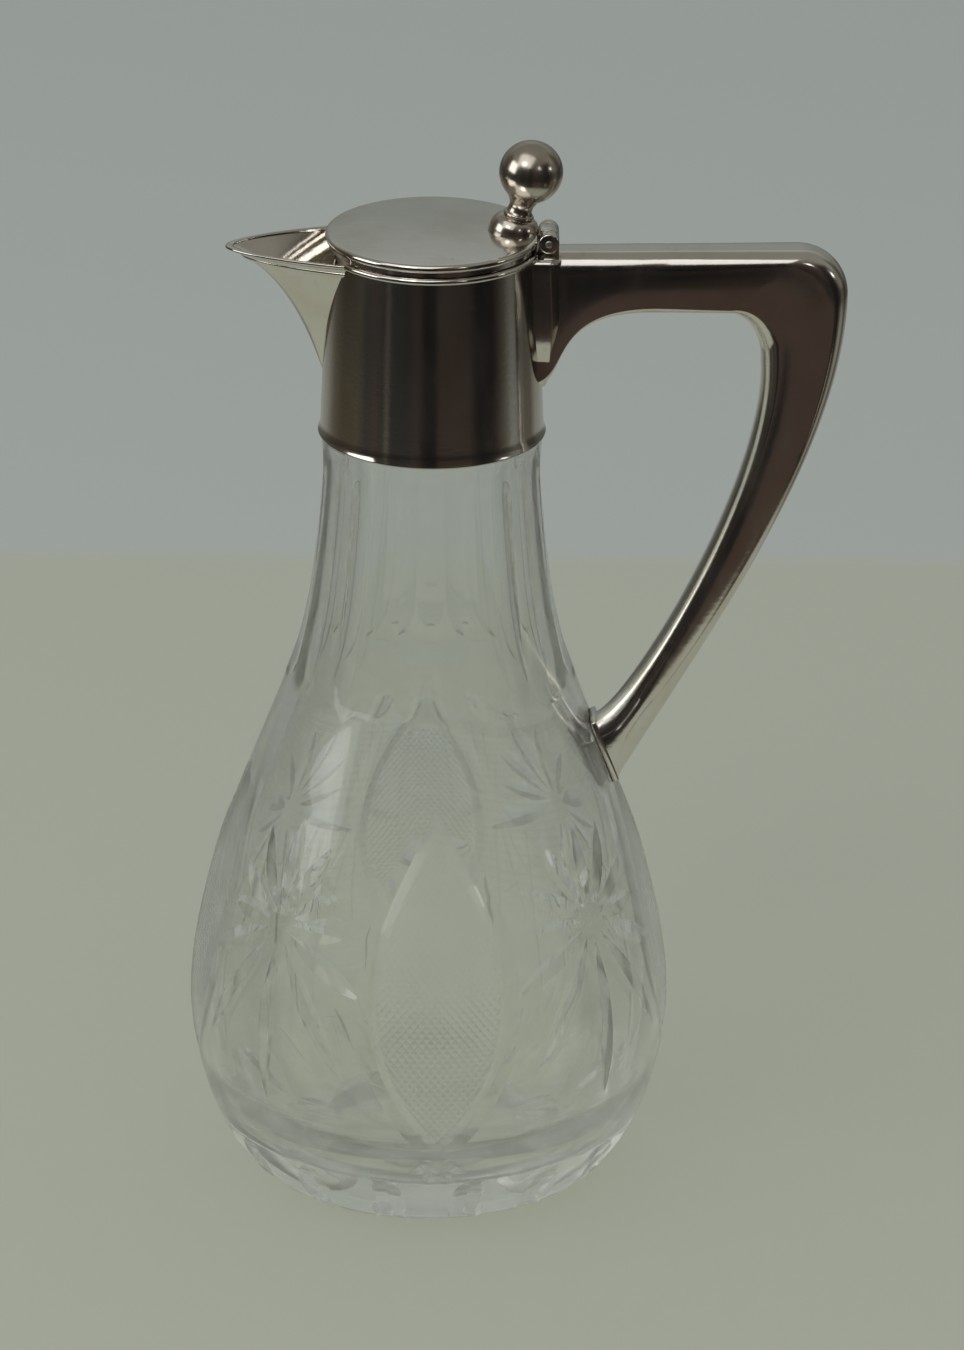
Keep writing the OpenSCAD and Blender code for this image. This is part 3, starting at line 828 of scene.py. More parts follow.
    def hatch(self, number: Field, t: Field) -> Stroke:
        """Fine crossed cuts that fill a panel."""
        p, lines, half = self.panels, self.hatch_lines(), math.radians(self.panels.half)
        side = (number % 2.0) * 2.0 - 1.0
        panel = (number / (2.0 * lines)).floor()
        line = (number / 2.0).floor() % float(lines)
        across = t * 2.0 - 1.0
        start = p.low_z - self.hatch_rise + 0.5 * self.hatch_pitch
        height = start + line * self.hatch_pitch + side * across * self.hatch_rise
        along = (height - p.low_z) / (p.top_z - p.low_z)
        room = (p.edge(along) - abs(across)) * (half * self.panel_r) - self.hatch_margin
        return Stroke(p.angle(panel) + across * half, height,
                      (room * self.hatch_runout).least(self.hatch_depth).most(-self.hatch_lift))

    def hatch_lines(self) -> int:
        """Number of hatching cuts of one slant in a panel."""
        return int((self.panels.top_z - self.panels.low_z + 2 * self.hatch_rise) / self.hatch_pitch)

    @staticmethod
    def dip(t: Field, depth: float, lift: float) -> Field:
        """Depth of a lens-shaped stroke that starts and ends a lift above the glass."""
        return (1.0 - abs(t * 2.0 - 1.0) ** 2.0) * (depth + lift) - lift

    def star(self, number: Field, t: Field) -> Stroke:
        """The rays of the stars between the panels, long ones below."""
        star = (number / float(self.star_rays)).floor()
        slant = (number % float(self.star_rays)) * (math.tau / self.star_rays)
        rise, run = slant.sin(), slant.cos()
        length = (self.star_side + (self.star_up - self.star_side) * rise.most(0.0) ** self.star_bias
                  + (self.star_down - self.star_side) * (-rise).most(0.0) ** self.star_bias)
        reach = self.star_eye + t * (length - self.star_eye)
        return Stroke(self.panels.angle(star + 0.5) + reach * run / self.radius(self.star_z),
                      self.star_z + reach * rise, self.dip(t, self.star_depth, self.ray_lift))

    def olive(self, number: Field, t: Field) -> Stroke:
        """Short round-bottomed cuts round the heel."""
        return Stroke((number + 0.5) * (math.tau / self.heel_cuts), self.heel_cut_z + t * self.heel_cut_len,
                      self.dip(t, self.heel_depth, self.lift))

    def fan(self, number: Field, t: Field) -> Stroke:
        """Small rays that spread below a panel's lower point."""
        panel = (number / float(self.fan_rays)).floor()
        slant = ((number % float(self.fan_rays)) / (self.fan_rays - 1.0) - 0.5) * self.fan_spread
        reach = self.fan_eye + t * self.fan_len
        return Stroke(self.panels.angle(panel) + reach * slant.sin() / self.fan_r,
                      self.panels.low_z - reach * slant.cos(), self.dip(t, self.fan_depth, self.ray_lift))

    def cut(self, g: Graph, blank: bpy.types.NodeSocket, count: Number, steps: int, wheel: Wheel,
            width: Number, rule: Callable[[Field, Field], Stroke]) -> bpy.types.NodeSocket:
        """Sweeps a wheel's section along the strokes of one rule.

        Args:
            g: the tree.
            blank: the glass that the strokes follow.
            count: number of strokes.
            steps: points along each stroke.
            wheel: the edge of the wheel.
            width: stretch of its section across the stroke.
            rule: gives each stroke from its number and the way along it.

        Returns:
            One closed cutter for each stroke, as instances.
        """
        line = g.node("GeometryNodeCurvePrimitiveLine", None, {"End": (0.0, 0.0, 0.1)})
        line = g.node("GeometryNodeResampleCurve", None, {"Curve": line.outputs[0], "Count": steps})
        many = g.node("GeometryNodeDuplicateElements", {"domain": "SPLINE"},
                      {"Geometry": line.outputs[0], "Amount": count})
        number = g.field(many, "Duplicate Index")
        t = g.field(g.node("GeometryNodeSplineParameter"), "Index") / (steps - 1.0)
        stroke = rule(number, t)
        c, s, z = stroke.angle.cos(), stroke.angle.sin(), stroke.height * MM
        ray = g.node("GeometryNodeRaycast", {"data_type": "FLOAT"}, {
            "Target Geometry": blank, "Source Position": g.combine(c * self.probe, s * self.probe, z),
            "Ray Direction": g.combine(-c, -s, 0.0), "Ray Length": self.probe_len})
        normal = g.find(ray.outputs, "Hit Normal")
        sunk = g.vector("SCALE", normal, scale=stroke.depth * -MM)
        placed = g.node("GeometryNodeSetPosition", None, {
            "Geometry": many.outputs[0],
            "Position": g.vector("ADD", g.find(ray.outputs, "Hit Position"), sunk)})
        turned = g.node("GeometryNodeSetCurveNormal", {"mode": "FREE"},
                        {"Curve": placed.outputs[0], "Normal": normal})
        corners, size = wheel.value
        ring = g.node("GeometryNodeCurvePrimitiveCircle", None, {"Resolution": corners, "Radius": size})
        ring = g.node("GeometryNodeTransform", None,
                      {"Geometry": ring.outputs[0], "Rotation": (0.0, 0.0, math.pi)})
        ring = g.node("GeometryNodeTransform", None, {
            "Geometry": ring.outputs[0], "Translation": (size, 0.0, 0.0),
            "Scale": g.combine(1.0, width, 1.0)})
        sweep = g.node("GeometryNodeCurveToMesh", None, {
            "Curve": turned.outputs[0], "Profile Curve": ring.outputs[0], "Fill Caps": True})
        return g.node("GeometryNodeSplitToInstances", {"domain": "FACE"}, {
            "Geometry": sweep.outputs[0],
            "Group ID": g.find(g.node("GeometryNodeInputMeshIsland").outputs, "Island Index")}).outputs[0]

    def tree(self, material: bpy.types.Material) -> bpy.types.NodeTree:
        """The tree that cuts the blank.

        Args:
            material: the glass.

        Returns:
            The tree, whose named inputs are listed in self.given.
        """
        tree = bpy.data.node_groups.new("glass_cutting", "GeometryNodeTree")
        g = Graph(tree)
        face = tree.interface
        face.new_socket("Blank", in_out="INPUT", socket_type="NodeSocketGeometry")
        face.new_socket("Glass", in_out="OUTPUT", socket_type="NodeSocketGeometry")
        # The mitre wheel's section is a triangle of 60 degrees, spread until its tip has the wanted angle.
        mitre = math.tan(math.radians(self.mitre_angle / 2)) / math.tan(math.radians(30))
        panels = self.panels.count
        wanted = {"Border cuts": 2 * panels, "Hatch cuts": 2 * panels * self.hatch_lines(),
                  "Star rays": self.star_rays * panels, "Olives": self.heel_cuts,
                  "Fan rays": self.fan_rays * panels, "Mitre spread": mitre,
                  "Crease angle": math.radians(self.crease)}
        for name, value in wanted.items():
            kind = "NodeSocketInt" if isinstance(value, int) else "NodeSocketFloat"
            socket = face.new_socket(name, in_out="INPUT", socket_type=kind)
            self.given.append((socket.identifier, name, value))
        start = g.node("NodeGroupInput")
        blank = start.outputs["Blank"]

        def given(name: str) -> Field:
            """A named input as a field."""
            return g.field(start, name)

        spread = given("Mitre spread")
        cutters = [
            self.cut(g, blank, given("Border cuts"), 60, Wheel.MITRE, spread, self.border),
            self.cut(g, blank, given("Hatch cuts"), 20, Wheel.MITRE, spread, self.hatch),
            self.cut(g, blank, given("Star rays"), 24, Wheel.MITRE, spread, self.star),
            self.cut(g, blank, given("Olives"), 20, Wheel.ROUND, 1.0, self.olive),
            self.cut(g, blank, given("Fan rays"), 14, Wheel.MITRE, spread, self.fan),
        ]
        join = g.node("GeometryNodeJoinGeometry")
        for cutter in cutters:
            tree.links.new(cutter, join.inputs[0])
        ground = g.node("GeometryNodeMeshBoolean", {"operation": "DIFFERENCE", "solver": "MANIFOLD"},
                        {"Mesh 1": blank, "Mesh 2": join.outputs[0]})
        soft = g.node("GeometryNodeSetShadeSmooth", {"domain": "FACE"}, {"Geometry": ground.outputs[0]})
        bend = g.field(g.node("GeometryNodeInputMeshEdgeAngle"), "Unsigned Angle")
        sharp = g.node("GeometryNodeSetShadeSmooth", {"domain": "EDGE"}, {
            "Geometry": soft.outputs[0], "Selection": bend.above(given("Crease angle")),
            "Shade Smooth": False})
        real = g.node("GeometryNodeRealizeInstances", None, {"Geometry": sharp.outputs[0]})
        done = g.node("GeometryNodeSetMaterial", None, {"Geometry": real.outputs[0], "Material": material})
        g.node("NodeGroupOutput", None, {"Glass": done.outputs[0]})
        return tree

    def build(self, material: bpy.types.Material) -> None:
        """Makes the glass body.

        Args:
            material: the glass.
        """
        piece = self.blank()
        step = piece.modifiers.new("cutting", "NODES")
        step.node_group = self.tree(material)
        for identifier, _name, value in self.given:
            step[identifier] = value
        apply_modifiers(piece)
        hand_over(piece, Body.JUG, Slot.GLASS, material, "glass_body")


# ---- the plated mount ---------------------------------------------------------------------------------


def bow(middle: tuple[float, float], radius: float, start: float, end: float,
        steps: int = 12) -> list[tuple[float, float]]:
    """Points of an arc.

    Args:
        middle: its centre.
        radius: its radius.
        start: angle of its first point in degrees.
        end: angle of its last point.
        steps: number of steps between them.

    Returns:
        The points.
    """
    angles = [math.radians(mix(start, end, k / steps)) for k in range(steps + 1)]
    return [(middle[0] + radius * math.cos(a), middle[1] + radius * math.sin(a)) for a in angles]


@dataclass(frozen=True)
class Sizes:
    """Sizes in millimetres that several pieces of the mount share."""

    glass_h: float = 204.5
    rim_z: float = 254.0
    rim_r: float = 26.5
    collar_r: float = 28.3
    wall: float = 1.0
    lid_z: float = 255.4
    lid_top_z: float = 257.5
    hinge_x: float = 29.0
    hinge_z: float = 256.1
    barrel_r: float = 2.6
    barrel_len: float = 12.0
    knuckle_len: float = 4.4
    knuckle_gap: float = 0.3
    pin_r: float = 0.9

    def collar_out(self, z: float) -> float:
        """Radius of the collar's outer face at a height."""
        return mix(self.rim_r, self.collar_r, (self.rim_z - z) / (self.rim_z - self.glass_h))

    def barrel(self, name: str, length: float, radius: float, edge: float,
               y: float = 0.0) -> bpy.types.Object:
        """A round bar on the hinge's axis.

        Args:
            name: the object's name.
            length: its length.
            radius: its radius.
            edge: rounding of its ends.
            y: place of its middle along the axis.

        Returns:
            The object.
        """
        half = length / 2
        profile = [(0, -half)] + bow((radius - edge, edge - half), edge, -90, 0, 5)
        profile += bow((radius - edge, half - edge), edge, 0, 90, 5) + [(0, half)]
        place = Matrix.Translation((self.hinge_x, y, self.hinge_z)) @ Matrix.Rotation(math.pi / 2, 4, "X")
        return revolve(name, profile, 64, place=place)


@dataclass
class Spout:
    """The beak: an open trough that grows out of the collar, with two beads along its edge."""

    sizes: Sizes = Sizes()
    reach: float = 51.3
    half: float = 16.3
    height: float = 34.0
    beak_near: float = 11.0
    beak_far: float = 18.0
    slimming: float = 1.25
    lip_h: float = 1.0
    lip_drop: float = 0.4
    lip_round: float = 0.35
    tuck: float = 0.45
    bead_depths: tuple[float, float] = (1.05, 3.35)
    bead_r: float = 0.65
    bead_out: float = 0.7
    groove_out: float = 0.2
    columns: int = 44
    rows: int = 56

    def bottom(self, inset: float) -> float:
        """Depth at which the keel meets the collar, inside a wall of that inset."""
        return self.height - 3 * inset

    def keel(self, t: float, inset: float) -> tuple[float, float]:
        """Reach and depth of the keel, from the lip at 0 to the collar at 1."""
        slim = self.slimming * inset
        tip = self.reach - slim
        return bezier(((tip, self.lip_h), (tip - self.beak_near, 0.17 * self.height),
                       (tip - self.beak_far, 0.48 * self.height),
                       (self.sizes.rim_r + 1 - slim, self.bottom(inset))), t)

    def reach_at(self, depth: float, inset: float) -> float:
        """Reach of the keel at a depth below the rim."""
        low, high = 0.0, 1.0
        for _ in range(30):
            middle = (low + high) / 2
            low, high = (middle, high) if self.keel(middle, inset)[1] < depth else (low, middle)
        return self.keel(low, inset)[0]

    def half_at(self, depth: float, inset: float) -> float:
        """Half width where the spout leaves the collar."""
        room = max(0.0, 1 - max(depth, self.lip_drop) / self.bottom(inset))
        return max(0.2, (self.half - inset) * room ** 1.1)

    def outline(self, depth: float, reach: float, half: float) -> list[Point]:
        """Level line from one root over the tip to the other.

        Args:
            depth: its depth below the rim.
            reach: distance of its tip from the jug's axis.
            half: half of its width at the roots.

        Returns:
            Its points.
        """
        z = self.sizes.rim_z - depth
        root = math.sqrt(self.sizes.collar_out(z) ** 2 - half * half) - self.tuck
        tip = max(reach, root + 0.05)
        side = []
        for i in range(self.columns + 1):
            u = (i / self.columns) ** 1.6
            side.append((-mix(tip, root, u), half * (0.55 * math.sqrt(u * (2 - u)) + 0.45 * u), z))
        return [(x, -y, z) for x, y, _ in reversed(side)] + side[1:]

    def level(self, depth: float, inset: float, out: float = 0.0) -> list[Point]:
        """The outline at a depth, with the wall's inset and the moulding's height."""
        return self.outline(depth, self.reach_at(depth, inset) + out, self.half_at(depth, inset) + out)

    def moulding(self, depth: float) -> float:
        """How far the two beads and the groove between them stand out at a depth."""
        bead = max(math.sqrt(max(0.0, 1 - ((depth - d) / self.bead_r) ** 2)) for d in self.bead_depths)
        return max(self.bead_out * bead, self.groove_out if depth < self.bead_depths[1] else 0.0)

    def build(self, material: bpy.types.Material) -> None:
        """Makes the spout as one wall that goes up outside, over the lip and down inside.

        Args:
            material: its finish.
        """
        wall = self.sizes.wall
        edge = self.bead_depths[1] + 2 * self.bead_r
        levels = [self.level(mix(self.height, edge, (k / self.rows) ** 0.8), 0.0) for k in range(self.rows)]
        beads = [mix(edge, self.bead_depths[0] - 0.3, k / 40) for k in range(41)]
        levels += [self.level(d, 0.0, self.moulding(d)) for d in beads]
        top = self.lip_drop + self.lip_round
        for k in range(1, 10):
            a = math.pi * k / 10
            offset = mix(self.moulding(beads[-1]), -wall, (1 - math.cos(a)) / 2)
            levels.append(self.level(top - self.lip_round * math.sin(a), max(0.0, -offset), max(0.0, offset)))
        levels += [self.level(mix(top, self.bottom(wall), (k / self.rows) ** 1.25), wall)
                   for k in range(self.rows + 1)]
        rings = [[line[j] for line in levels] for j in range(len(levels[0]))]
        piece = smooth(loft("spout", rings), 40)
        hand_over(piece, Body.JUG, Slot.PLATE, material, "spout_shell", "spout_moulding")

    def room(self, inset: float) -> bpy.types.Object:
        """A cutter of everything inside the spout, made smaller on every side by inset, open upward."""
        bottom, above_rim, behind = 0.999 * self.bottom(inset), -20.0, 7.0
        rings = []
        for depth in [mix(bottom, self.lip_h, k / 48) for k in range(49)] + [above_rim]:
            line = self.level(depth, inset)
            back = [(p[0] + behind, p[1], p[2]) for p in (line[-1], line[0])]
            rings.append(line + back)
        return loft("spout_room", rings)


@dataclass
class Collar:
    """The tapered collar with a bead round its rim and a small flare at its lower edge."""

    spout: Spout
    sizes: Sizes = Sizes()
    rim_bead: float = 0.8
    edge_flare: float = 0.55
    flare_h: float = 3.0
    rim_seam: float = 1.1

    def build(self, material: bpy.types.Material) -> None:
        """Makes the collar's wall and its rim.

        Args:
            material: their finish.
        """
        s = self.sizes
        seam_z = s.rim_z - self.rim_seam
        round_r = 0.7 * self.edge_flare
        outer = bow((s.collar_r + self.edge_flare - round_r, s.glass_h + round_r), round_r, -90, 0, 8)
        flare_top = s.glass_h + round_r + self.flare_h
        for k in range(1, 13):
            z = mix(s.glass_h + round_r, flare_top, k / 12)
            outer.append((s.collar_out(z) + self.edge_flare * (1 - k / 12) ** 2.2, z))
        outer += [(s.collar_out(z), z) for z in (mix(flare_top + 1.0, seam_z, k / 24) for k in range(25))]
        inner = [(s.collar_out(z) - s.wall, z) for z in (seam_z, mix(seam_z, s.glass_h, 0.5), s.glass_h)]
        wall = revolve("collar", outer + inner, 240, closed=True)
        carve(wall, [self.spout.room(1.15 * s.wall)])
        hand_over(smooth(wall, 35), Body.JUG, Slot.PLATE, material, "collar_shell")
        top_z = s.rim_z - self.rim_bead
        section = [(s.rim_r - s.wall + 0.02, seam_z + 0.02), (s.rim_r - 0.1, seam_z + 0.02)]
        section += bow((s.rim_r, top_z), self.rim_bead, -70, 90, 16)
        section += bow((s.rim_r - s.wall + 0.32, s.rim_z - 0.3), 0.3, 90, 180, 5)
        rim = revolve("collar_rim", section, 240, closed=True)
        carve(rim, [self.spout.room(-0.4)])
        hand_over(smooth(rim, 35), Body.JUG, Slot.PLATE, material, "collar_rim")


@dataclass
class Handle:
    """The cast handle: a level bar on a bracket, a corner, and a limb that tapers down to the glass."""

    glass: CutGlass
    sizes: Sizes = Sizes()
    reach: float = 104.2
    bar_top_z: float = 253.0
    corner_z: float = 253.8
    bar_h: float = 15.8
    limb_w: float = 21.5
    limb_lean: float = 2.2
    width: float = 14.6
    edge: float = 4.6
    under_edge: float = 2.0
    limb_edge: float = 6.6
    crown: float = 0.3
    corner: float = 12.0
    inner_across: float = 9.0
    inner_down: float = 14.0
    console_x: float = 28.7
    console_z: float = 218.0
    plate_t: float = 1.6
    pad_t: float = 0.8
    shield_half: float = 9.2
    shield_t: float = 4.4
    shield_tip: float = 20.0
    shoulder: float = 1.7
    shield_low: float = 1.8
    shield_top: float = 0.4
    shield_tail: float = 22.0
    shield_round: float = 1.5
    flat: float = 0.7
    beside: float = 0.35
    bar_rows: int = 60
    corner_rows: int = 40
    limb_rows: int = 90
    columns: int = 12

    def foot_point(self, up: float) -> tuple[float, float]:
        """A point of the handle's end, up along the glass, as x and z."""
        p = self.glass.seat_frame() @ Vector((self.pad_t + self.plate_t, 0.0, up))
        return (p.x, p.z)

    def sides(self) -> list[tuple[tuple[float, float], tuple[float, float]]]:
        """Outer and inner points of the handle seen from the side, from the collar to the foot."""
        heel, toe = self.foot_point(-self.glass.foot_len / 2), self.foot_point(self.glass.foot_len / 2)
        x0, far, top = self.sizes.rim_r, self.reach, self.corner_z
        under = top - self.bar_h
        inner_x = far - self.limb_w
        drop = top - heel[1]
        corner = ((far - self.corner, top), (far - 0.4 * self.corner, top), (far, top - 0.5 * self.corner),
                  (far, top - self.corner))
        limb = (corner[3], (far, top - 0.358 * drop), (mix(heel[0], far, 0.464), top - 0.688 * drop), heel)
        console = ((x0, self.console_z), (x0 + 0.279 * self.console_x, mix(self.console_z, under, 0.158)),
                   (x0 + 0.064 * self.console_x, under), (x0 + self.console_x, under))
        hollow = ((inner_x - self.inner_across, under), (inner_x - 0.4 * self.inner_across, under),
                  (inner_x, under - 0.5 * self.inner_down), (inner_x, under - self.inner_down))
        back = (hollow[3], (inner_x + self.limb_lean, mix(under, toe[1], 0.425)),
                (mix(toe[0], inner_x, 0.199), mix(under, toe[1], 0.972)), toe)
        pairs = []
        for i in range(self.bar_rows):
            t = i / self.bar_rows
            level = (mix(console[3][0], hollow[0][0], 2 * t - 1), under)
            below = bezier(console, 2 * t) if t < 0.5 else level
            pairs.append(((mix(x0, corner[0][0], t), mix(self.bar_top_z, top, t)), below))
        for i in range(self.corner_rows):
            pairs.append((bezier(corner, i / self.corner_rows), bezier(hollow, i / self.corner_rows)))
        for i in range(self.limb_rows + 1):
            pairs.append((bezier(limb, i / self.limb_rows), bezier(back, i / self.limb_rows)))
        return pairs

    def section(self, out: tuple[float, float], within: tuple[float, float], half: float, round_out: float,
                round_in: float) -> list[Point]:
        """One section across the handle.

        Args:
            out: its outer point.
            within: its inner point.
            half: half of its width.
            round_out: rounding of the outer edges.
            round_in: rounding of the inner edges.

        Returns:
            Its points: four roundings, with one more point beside each, and two slightly crowned sides.
        """
        a, b = Vector(out), Vector(within)
        middle, length = (a + b) / 2, (a - b).length / 2
        way = (a - b).normalized()
        half -= self.crown
        q_out, q_in = min(round_out, half - self.flat), min(round_in, half - self.flat)
        flank = (length - q_out, q_in - length)
        points = []
        for k in range(4):
            outer = k in (0, 3)
            q = q_out if outer else q_in
            along = length - q if outer else q - length
            aside = half - q if k < 2 else q - half
            beside = min(self.beside, half - q)
            arc = [(along + q * math.cos(w), aside + q * math.sin(w))
                   for w in (math.pi / 2 * (k + j / self.columns) for j in range(self.columns + 1))]
            w0, w1 = math.pi / 2 * k, math.pi / 2 * (k + 1)
            arc.insert(0, (arc[0][0] + beside * math.sin(w0), arc[0][1] - beside * math.cos(w0)))
            arc.append((arc[-1][0] - beside * math.sin(w1), arc[-1][1] + beside * math.cos(w1)))
            if k in (0, 2):
                side, (start, end) = (1, flank) if k == 0 else (-1, flank[::-1])
                arc += [(mix(start, end, j / 8), side * (half + self.crown * (1 - (j / 4 - 1) ** 2)))
                        for j in range(1, 8)]
            points += [(middle.x + way.x * p, s, middle.y + way.y * p) for p, s in arc]
        return points

    def make_bar(self) -> bpy.types.Object:
        """The handle itself, as a loft along its two sides."""
        rings = []
        pairs = self.sides()
        for i, (out, within) in enumerate(pairs):
            late = max(0.0, (i - self.bar_rows) / (len(pairs) - self.bar_rows))
            turn = min(1.0, max(0.0, (i - self.bar_rows) / self.corner_rows))
            round_out, round_in = (mix(q, self.limb_edge, turn) for q in (self.edge, self.under_edge))
            half = mix(self.width, self.glass.foot_w, late) / 2
            rings.append(self.section(out, within, half, round_out, round_in))
        return smooth(loft("handle", rings), 40)

    def make_shield(self) -> bpy.types.Object:
        """The shield-shaped plate bent round the collar, with a sloping shoulder up to the handle."""
        half, thick, q = self.shield_half, self.shield_t, self.shield_round
        low, high = self.console_z - self.shield_low, self.bar_top_z - self.shield_top
        wide = low + self.shield_tail
        side = [bezier(((0.3, low), (0.5 * half, low + 3), (half, low + 9), (half, wide)), k / 20)
                for k in range(21)]
        side += [(half, mix(wide, high - q, k / 10)) for k in range(1, 11)]
        side += bow((half - q, high - q), q, 10, 90, 6)
        side += [(mix(half - q, 0.0, k / 6), high) for k in range(1, 6)]
        loop = side + [(-y, z) for y, z in reversed(side)]
        rings = []
        steps = ((-0.4, 0.0), (thick - 0.4, 0.0), (thick - 0.2, 0.0), (thick - 0.05, 0.08),
                 (thick, 0.3), (thick + self.shoulder, 3.0), (thick + self.shoulder + 0.1, 3.8))
        for out, inset in steps:
            ring = []
            for y, z in loop:
                y2 = y * (half - inset) / half
                z2 = mix(low + 1.5 * inset, high - 0.25 * inset, (z - low) / (high - low))
                swell = 1.0 if out < 0 else max(0.05, min(1.0, (z2 - low) / self.shield_tip)) ** 0.6
                r = self.sizes.collar_out(z2) + out * swell
                ring.append((math.sqrt(r * r - y2 * y2), y2, z2))
            rings.append(ring)
        return smooth(loft("handle_shield", rings), 30)

    def build(self, metal: bpy.types.Material, cork: bpy.types.Material) -> None:
        """Makes the handle, its shield, and its foot plate and pad.

        Args:
            metal: the plated finish.
            cork: the finish of the pad.
        """
        hand_over(self.make_bar(), Body.JUG, Slot.PLATE, metal, "handle_body")
        hand_over(self.make_shield(), Body.JUG, Slot.PLATE, metal, "handle_plate")
        y, z, seat = self.glass.foot_w / 2, self.glass.foot_len / 2, self.glass.seat_frame()
        plate = block("foot_plate", (self.pad_t, -y, -z), (self.pad_t + self.plate_t, y, z), 0.4, seat)
        hand_over(smooth(plate, 35), Body.JUG, Slot.PLATE, metal, "handle_foot_plate")
        pad = block("foot_pad", (0.02, -y + 0.1, -z + 0.1), (self.pad_t, y - 0.1, z - 0.1), 0.15, seat)
        hand_over(smooth(pad, 35), Body.JUG, Slot.CORK, cork, "handle_foot_pad")


@dataclass
class Lid:
    """The slightly domed lid with its hinge and the ball that the thumb pushes."""

    sizes: Sizes = Sizes()
    radius: float = 27.0
    dome: float = 0.6
    ear_room: float = 0.4
    ear_foot_z: float = 251.0
    leaf_t: float = 1.0
    strap_t: float = 1.3
    thumb_x: float = 20.2
    thumb_lean: float = 15.0
    foot_r: float = 6.4
    foot_h: float = 4.2
    ring_r: float = 3.4
    ring_bead: float = 0.5
    stem_r: float = 3.0
    stem_top_r: float = 4.6
    ball_r: float = 7.99
    ball_up: float = 16.2

    def make_disc(self) -> bpy.types.Object:
        """The lid itself, with room for the hinge."""
        s = self.sizes
        thick = s.lid_top_z - s.lid_z
        flat = self.radius - thick / 2
        profile = [(0, s.lid_z), (flat * 0.5, s.lid_z)]
        profile += bow((flat, s.lid_z + thick / 2), thick / 2, -90, 90, 20)
        profile += [(r, s.lid_top_z + self.dome * (1 - (r / flat) ** 2))
                    for r in (flat * (1 - k / 30) for k in range(1, 31))]
        disc = revolve("lid", profile, 240)
        cuts = [s.barrel("room", s.knuckle_len + 2 * s.knuckle_gap, s.barrel_r + 0.05, 0.05)]
        near, far = s.knuckle_len / 2, s.barrel_len / 2 + 2 * s.knuckle_gap
        x = s.hinge_x - s.barrel_r - self.ear_room
        cuts += [block("room", (x, min(a, b), s.lid_z - 3), (x + 20, max(a, b), s.lid_z + 6))
                 for a, b in ((near, far), (-near, -far))]
        carve(disc, cuts)
        return smooth(disc, 35)

    def make_knuckle(self) -> bpy.types.Object:
        """The lid's own knuckle with the strap that carries it."""
        s = self.sizes
        knuckle = s.barrel("lid_hinge_knuckle", s.knuckle_len, s.barrel_r, 0.25)
        half = s.knuckle_len / 2
        strap = block("strap", (self.thumb_x + self.foot_r + 0.2, -half, s.lid_z + 0.1),
                      (s.hinge_x, half, s.lid_top_z + self.strap_t - 0.1), 0.3)
        carve(knuckle, [strap], "UNION")
        carve(knuckle, [s.barrel("bore", s.knuckle_len + 2, s.pin_r + 0.05, 0.02)])
        return smooth(knuckle, 35)

    def make_ears(self) -> bpy.types.Object:
        """The two fixed knuckles on their leaf."""
        s = self.sizes
        length = (s.barrel_len - s.knuckle_len) / 2 - s.knuckle_gap
        y = (s.barrel_len - length) / 2
        low, high = self.ear_foot_z, self.ear_foot_z + self.leaf_t + 1.2
        ears = block("hinge_ears", (s.rim_r + 1.2, -s.barrel_len / 2, low),
                     (s.hinge_x + s.barrel_r - 0.1, s.barrel_len / 2, high), 0.3)
        parts = []
        half = length / 2 - 0.05
        for middle in (-y, y):
            parts.append(s.barrel("knuckle", length, s.barrel_r, 0.45, middle))
            parts.append(block("lug", (s.hinge_x - 1.3, middle - half, self.ear_foot_z),
                               (s.hinge_x + s.barrel_r - 0.05, middle + half, s.hinge_z), 0.3))
        carve(ears, parts, "UNION")
        carve(ears, [s.barrel("bore", s.barrel_len + 2, s.pin_r + 0.05, 0.02)])
        return smooth(ears, 35)

    def make_thumbpiece(self) -> bpy.types.Object:
        """The ball on its waisted stem and domed foot, turned as one."""
        ring_top = self.foot_h + 2 * self.ring_bead
        throat = self.ball_up - math.sqrt(self.ball_r ** 2 - self.stem_top_r ** 2)
        waist = mix(ring_top, self.ball_up - self.ball_r, 0.5)
        foot = [(mix(self.ring_r, self.foot_r, math.cos(a)), self.foot_h * math.sin(a))
                for a in (math.pi / 2 * k / 24 for k in range(25))]
        profile = [(0, -2.6), (self.foot_r - 0.3, -2.6), (self.foot_r, -2.3), (self.foot_r, -1.0)] + foot
        profile += bow((self.ring_r, self.foot_h + self.ring_bead), self.ring_bead, -85, 90, 14)
        profile += [(mix(self.ring_r, self.stem_r, 1 - (1 - t) ** 2), mix(ring_top, waist, t))
                    for t in (k / 12 for k in range(1, 13))]
        profile += [(mix(self.stem_r, self.stem_top_r, t ** 1.8), mix(waist, throat, t))
                    for t in (k / 16 for k in range(1, 16))]
        start = -math.degrees(math.acos(self.stem_top_r / self.ball_r))
        profile += bow((0, self.ball_up), self.ball_r, start + 1.5, 90, 64)
        place = (Matrix.Translation((self.thumb_x, 0, self.sizes.lid_top_z))
                 @ Matrix.Rotation(math.radians(self.thumb_lean), 4, "Y"))
        piece = revolve("thumbpiece", profile, 128, place=place)
        floor_z = (self.sizes.lid_top_z - 1.0) * MM
        for v in piece.data.vertices:
            v.co.z = max(v.co.z, floor_z)
        return smooth(piece, 35)

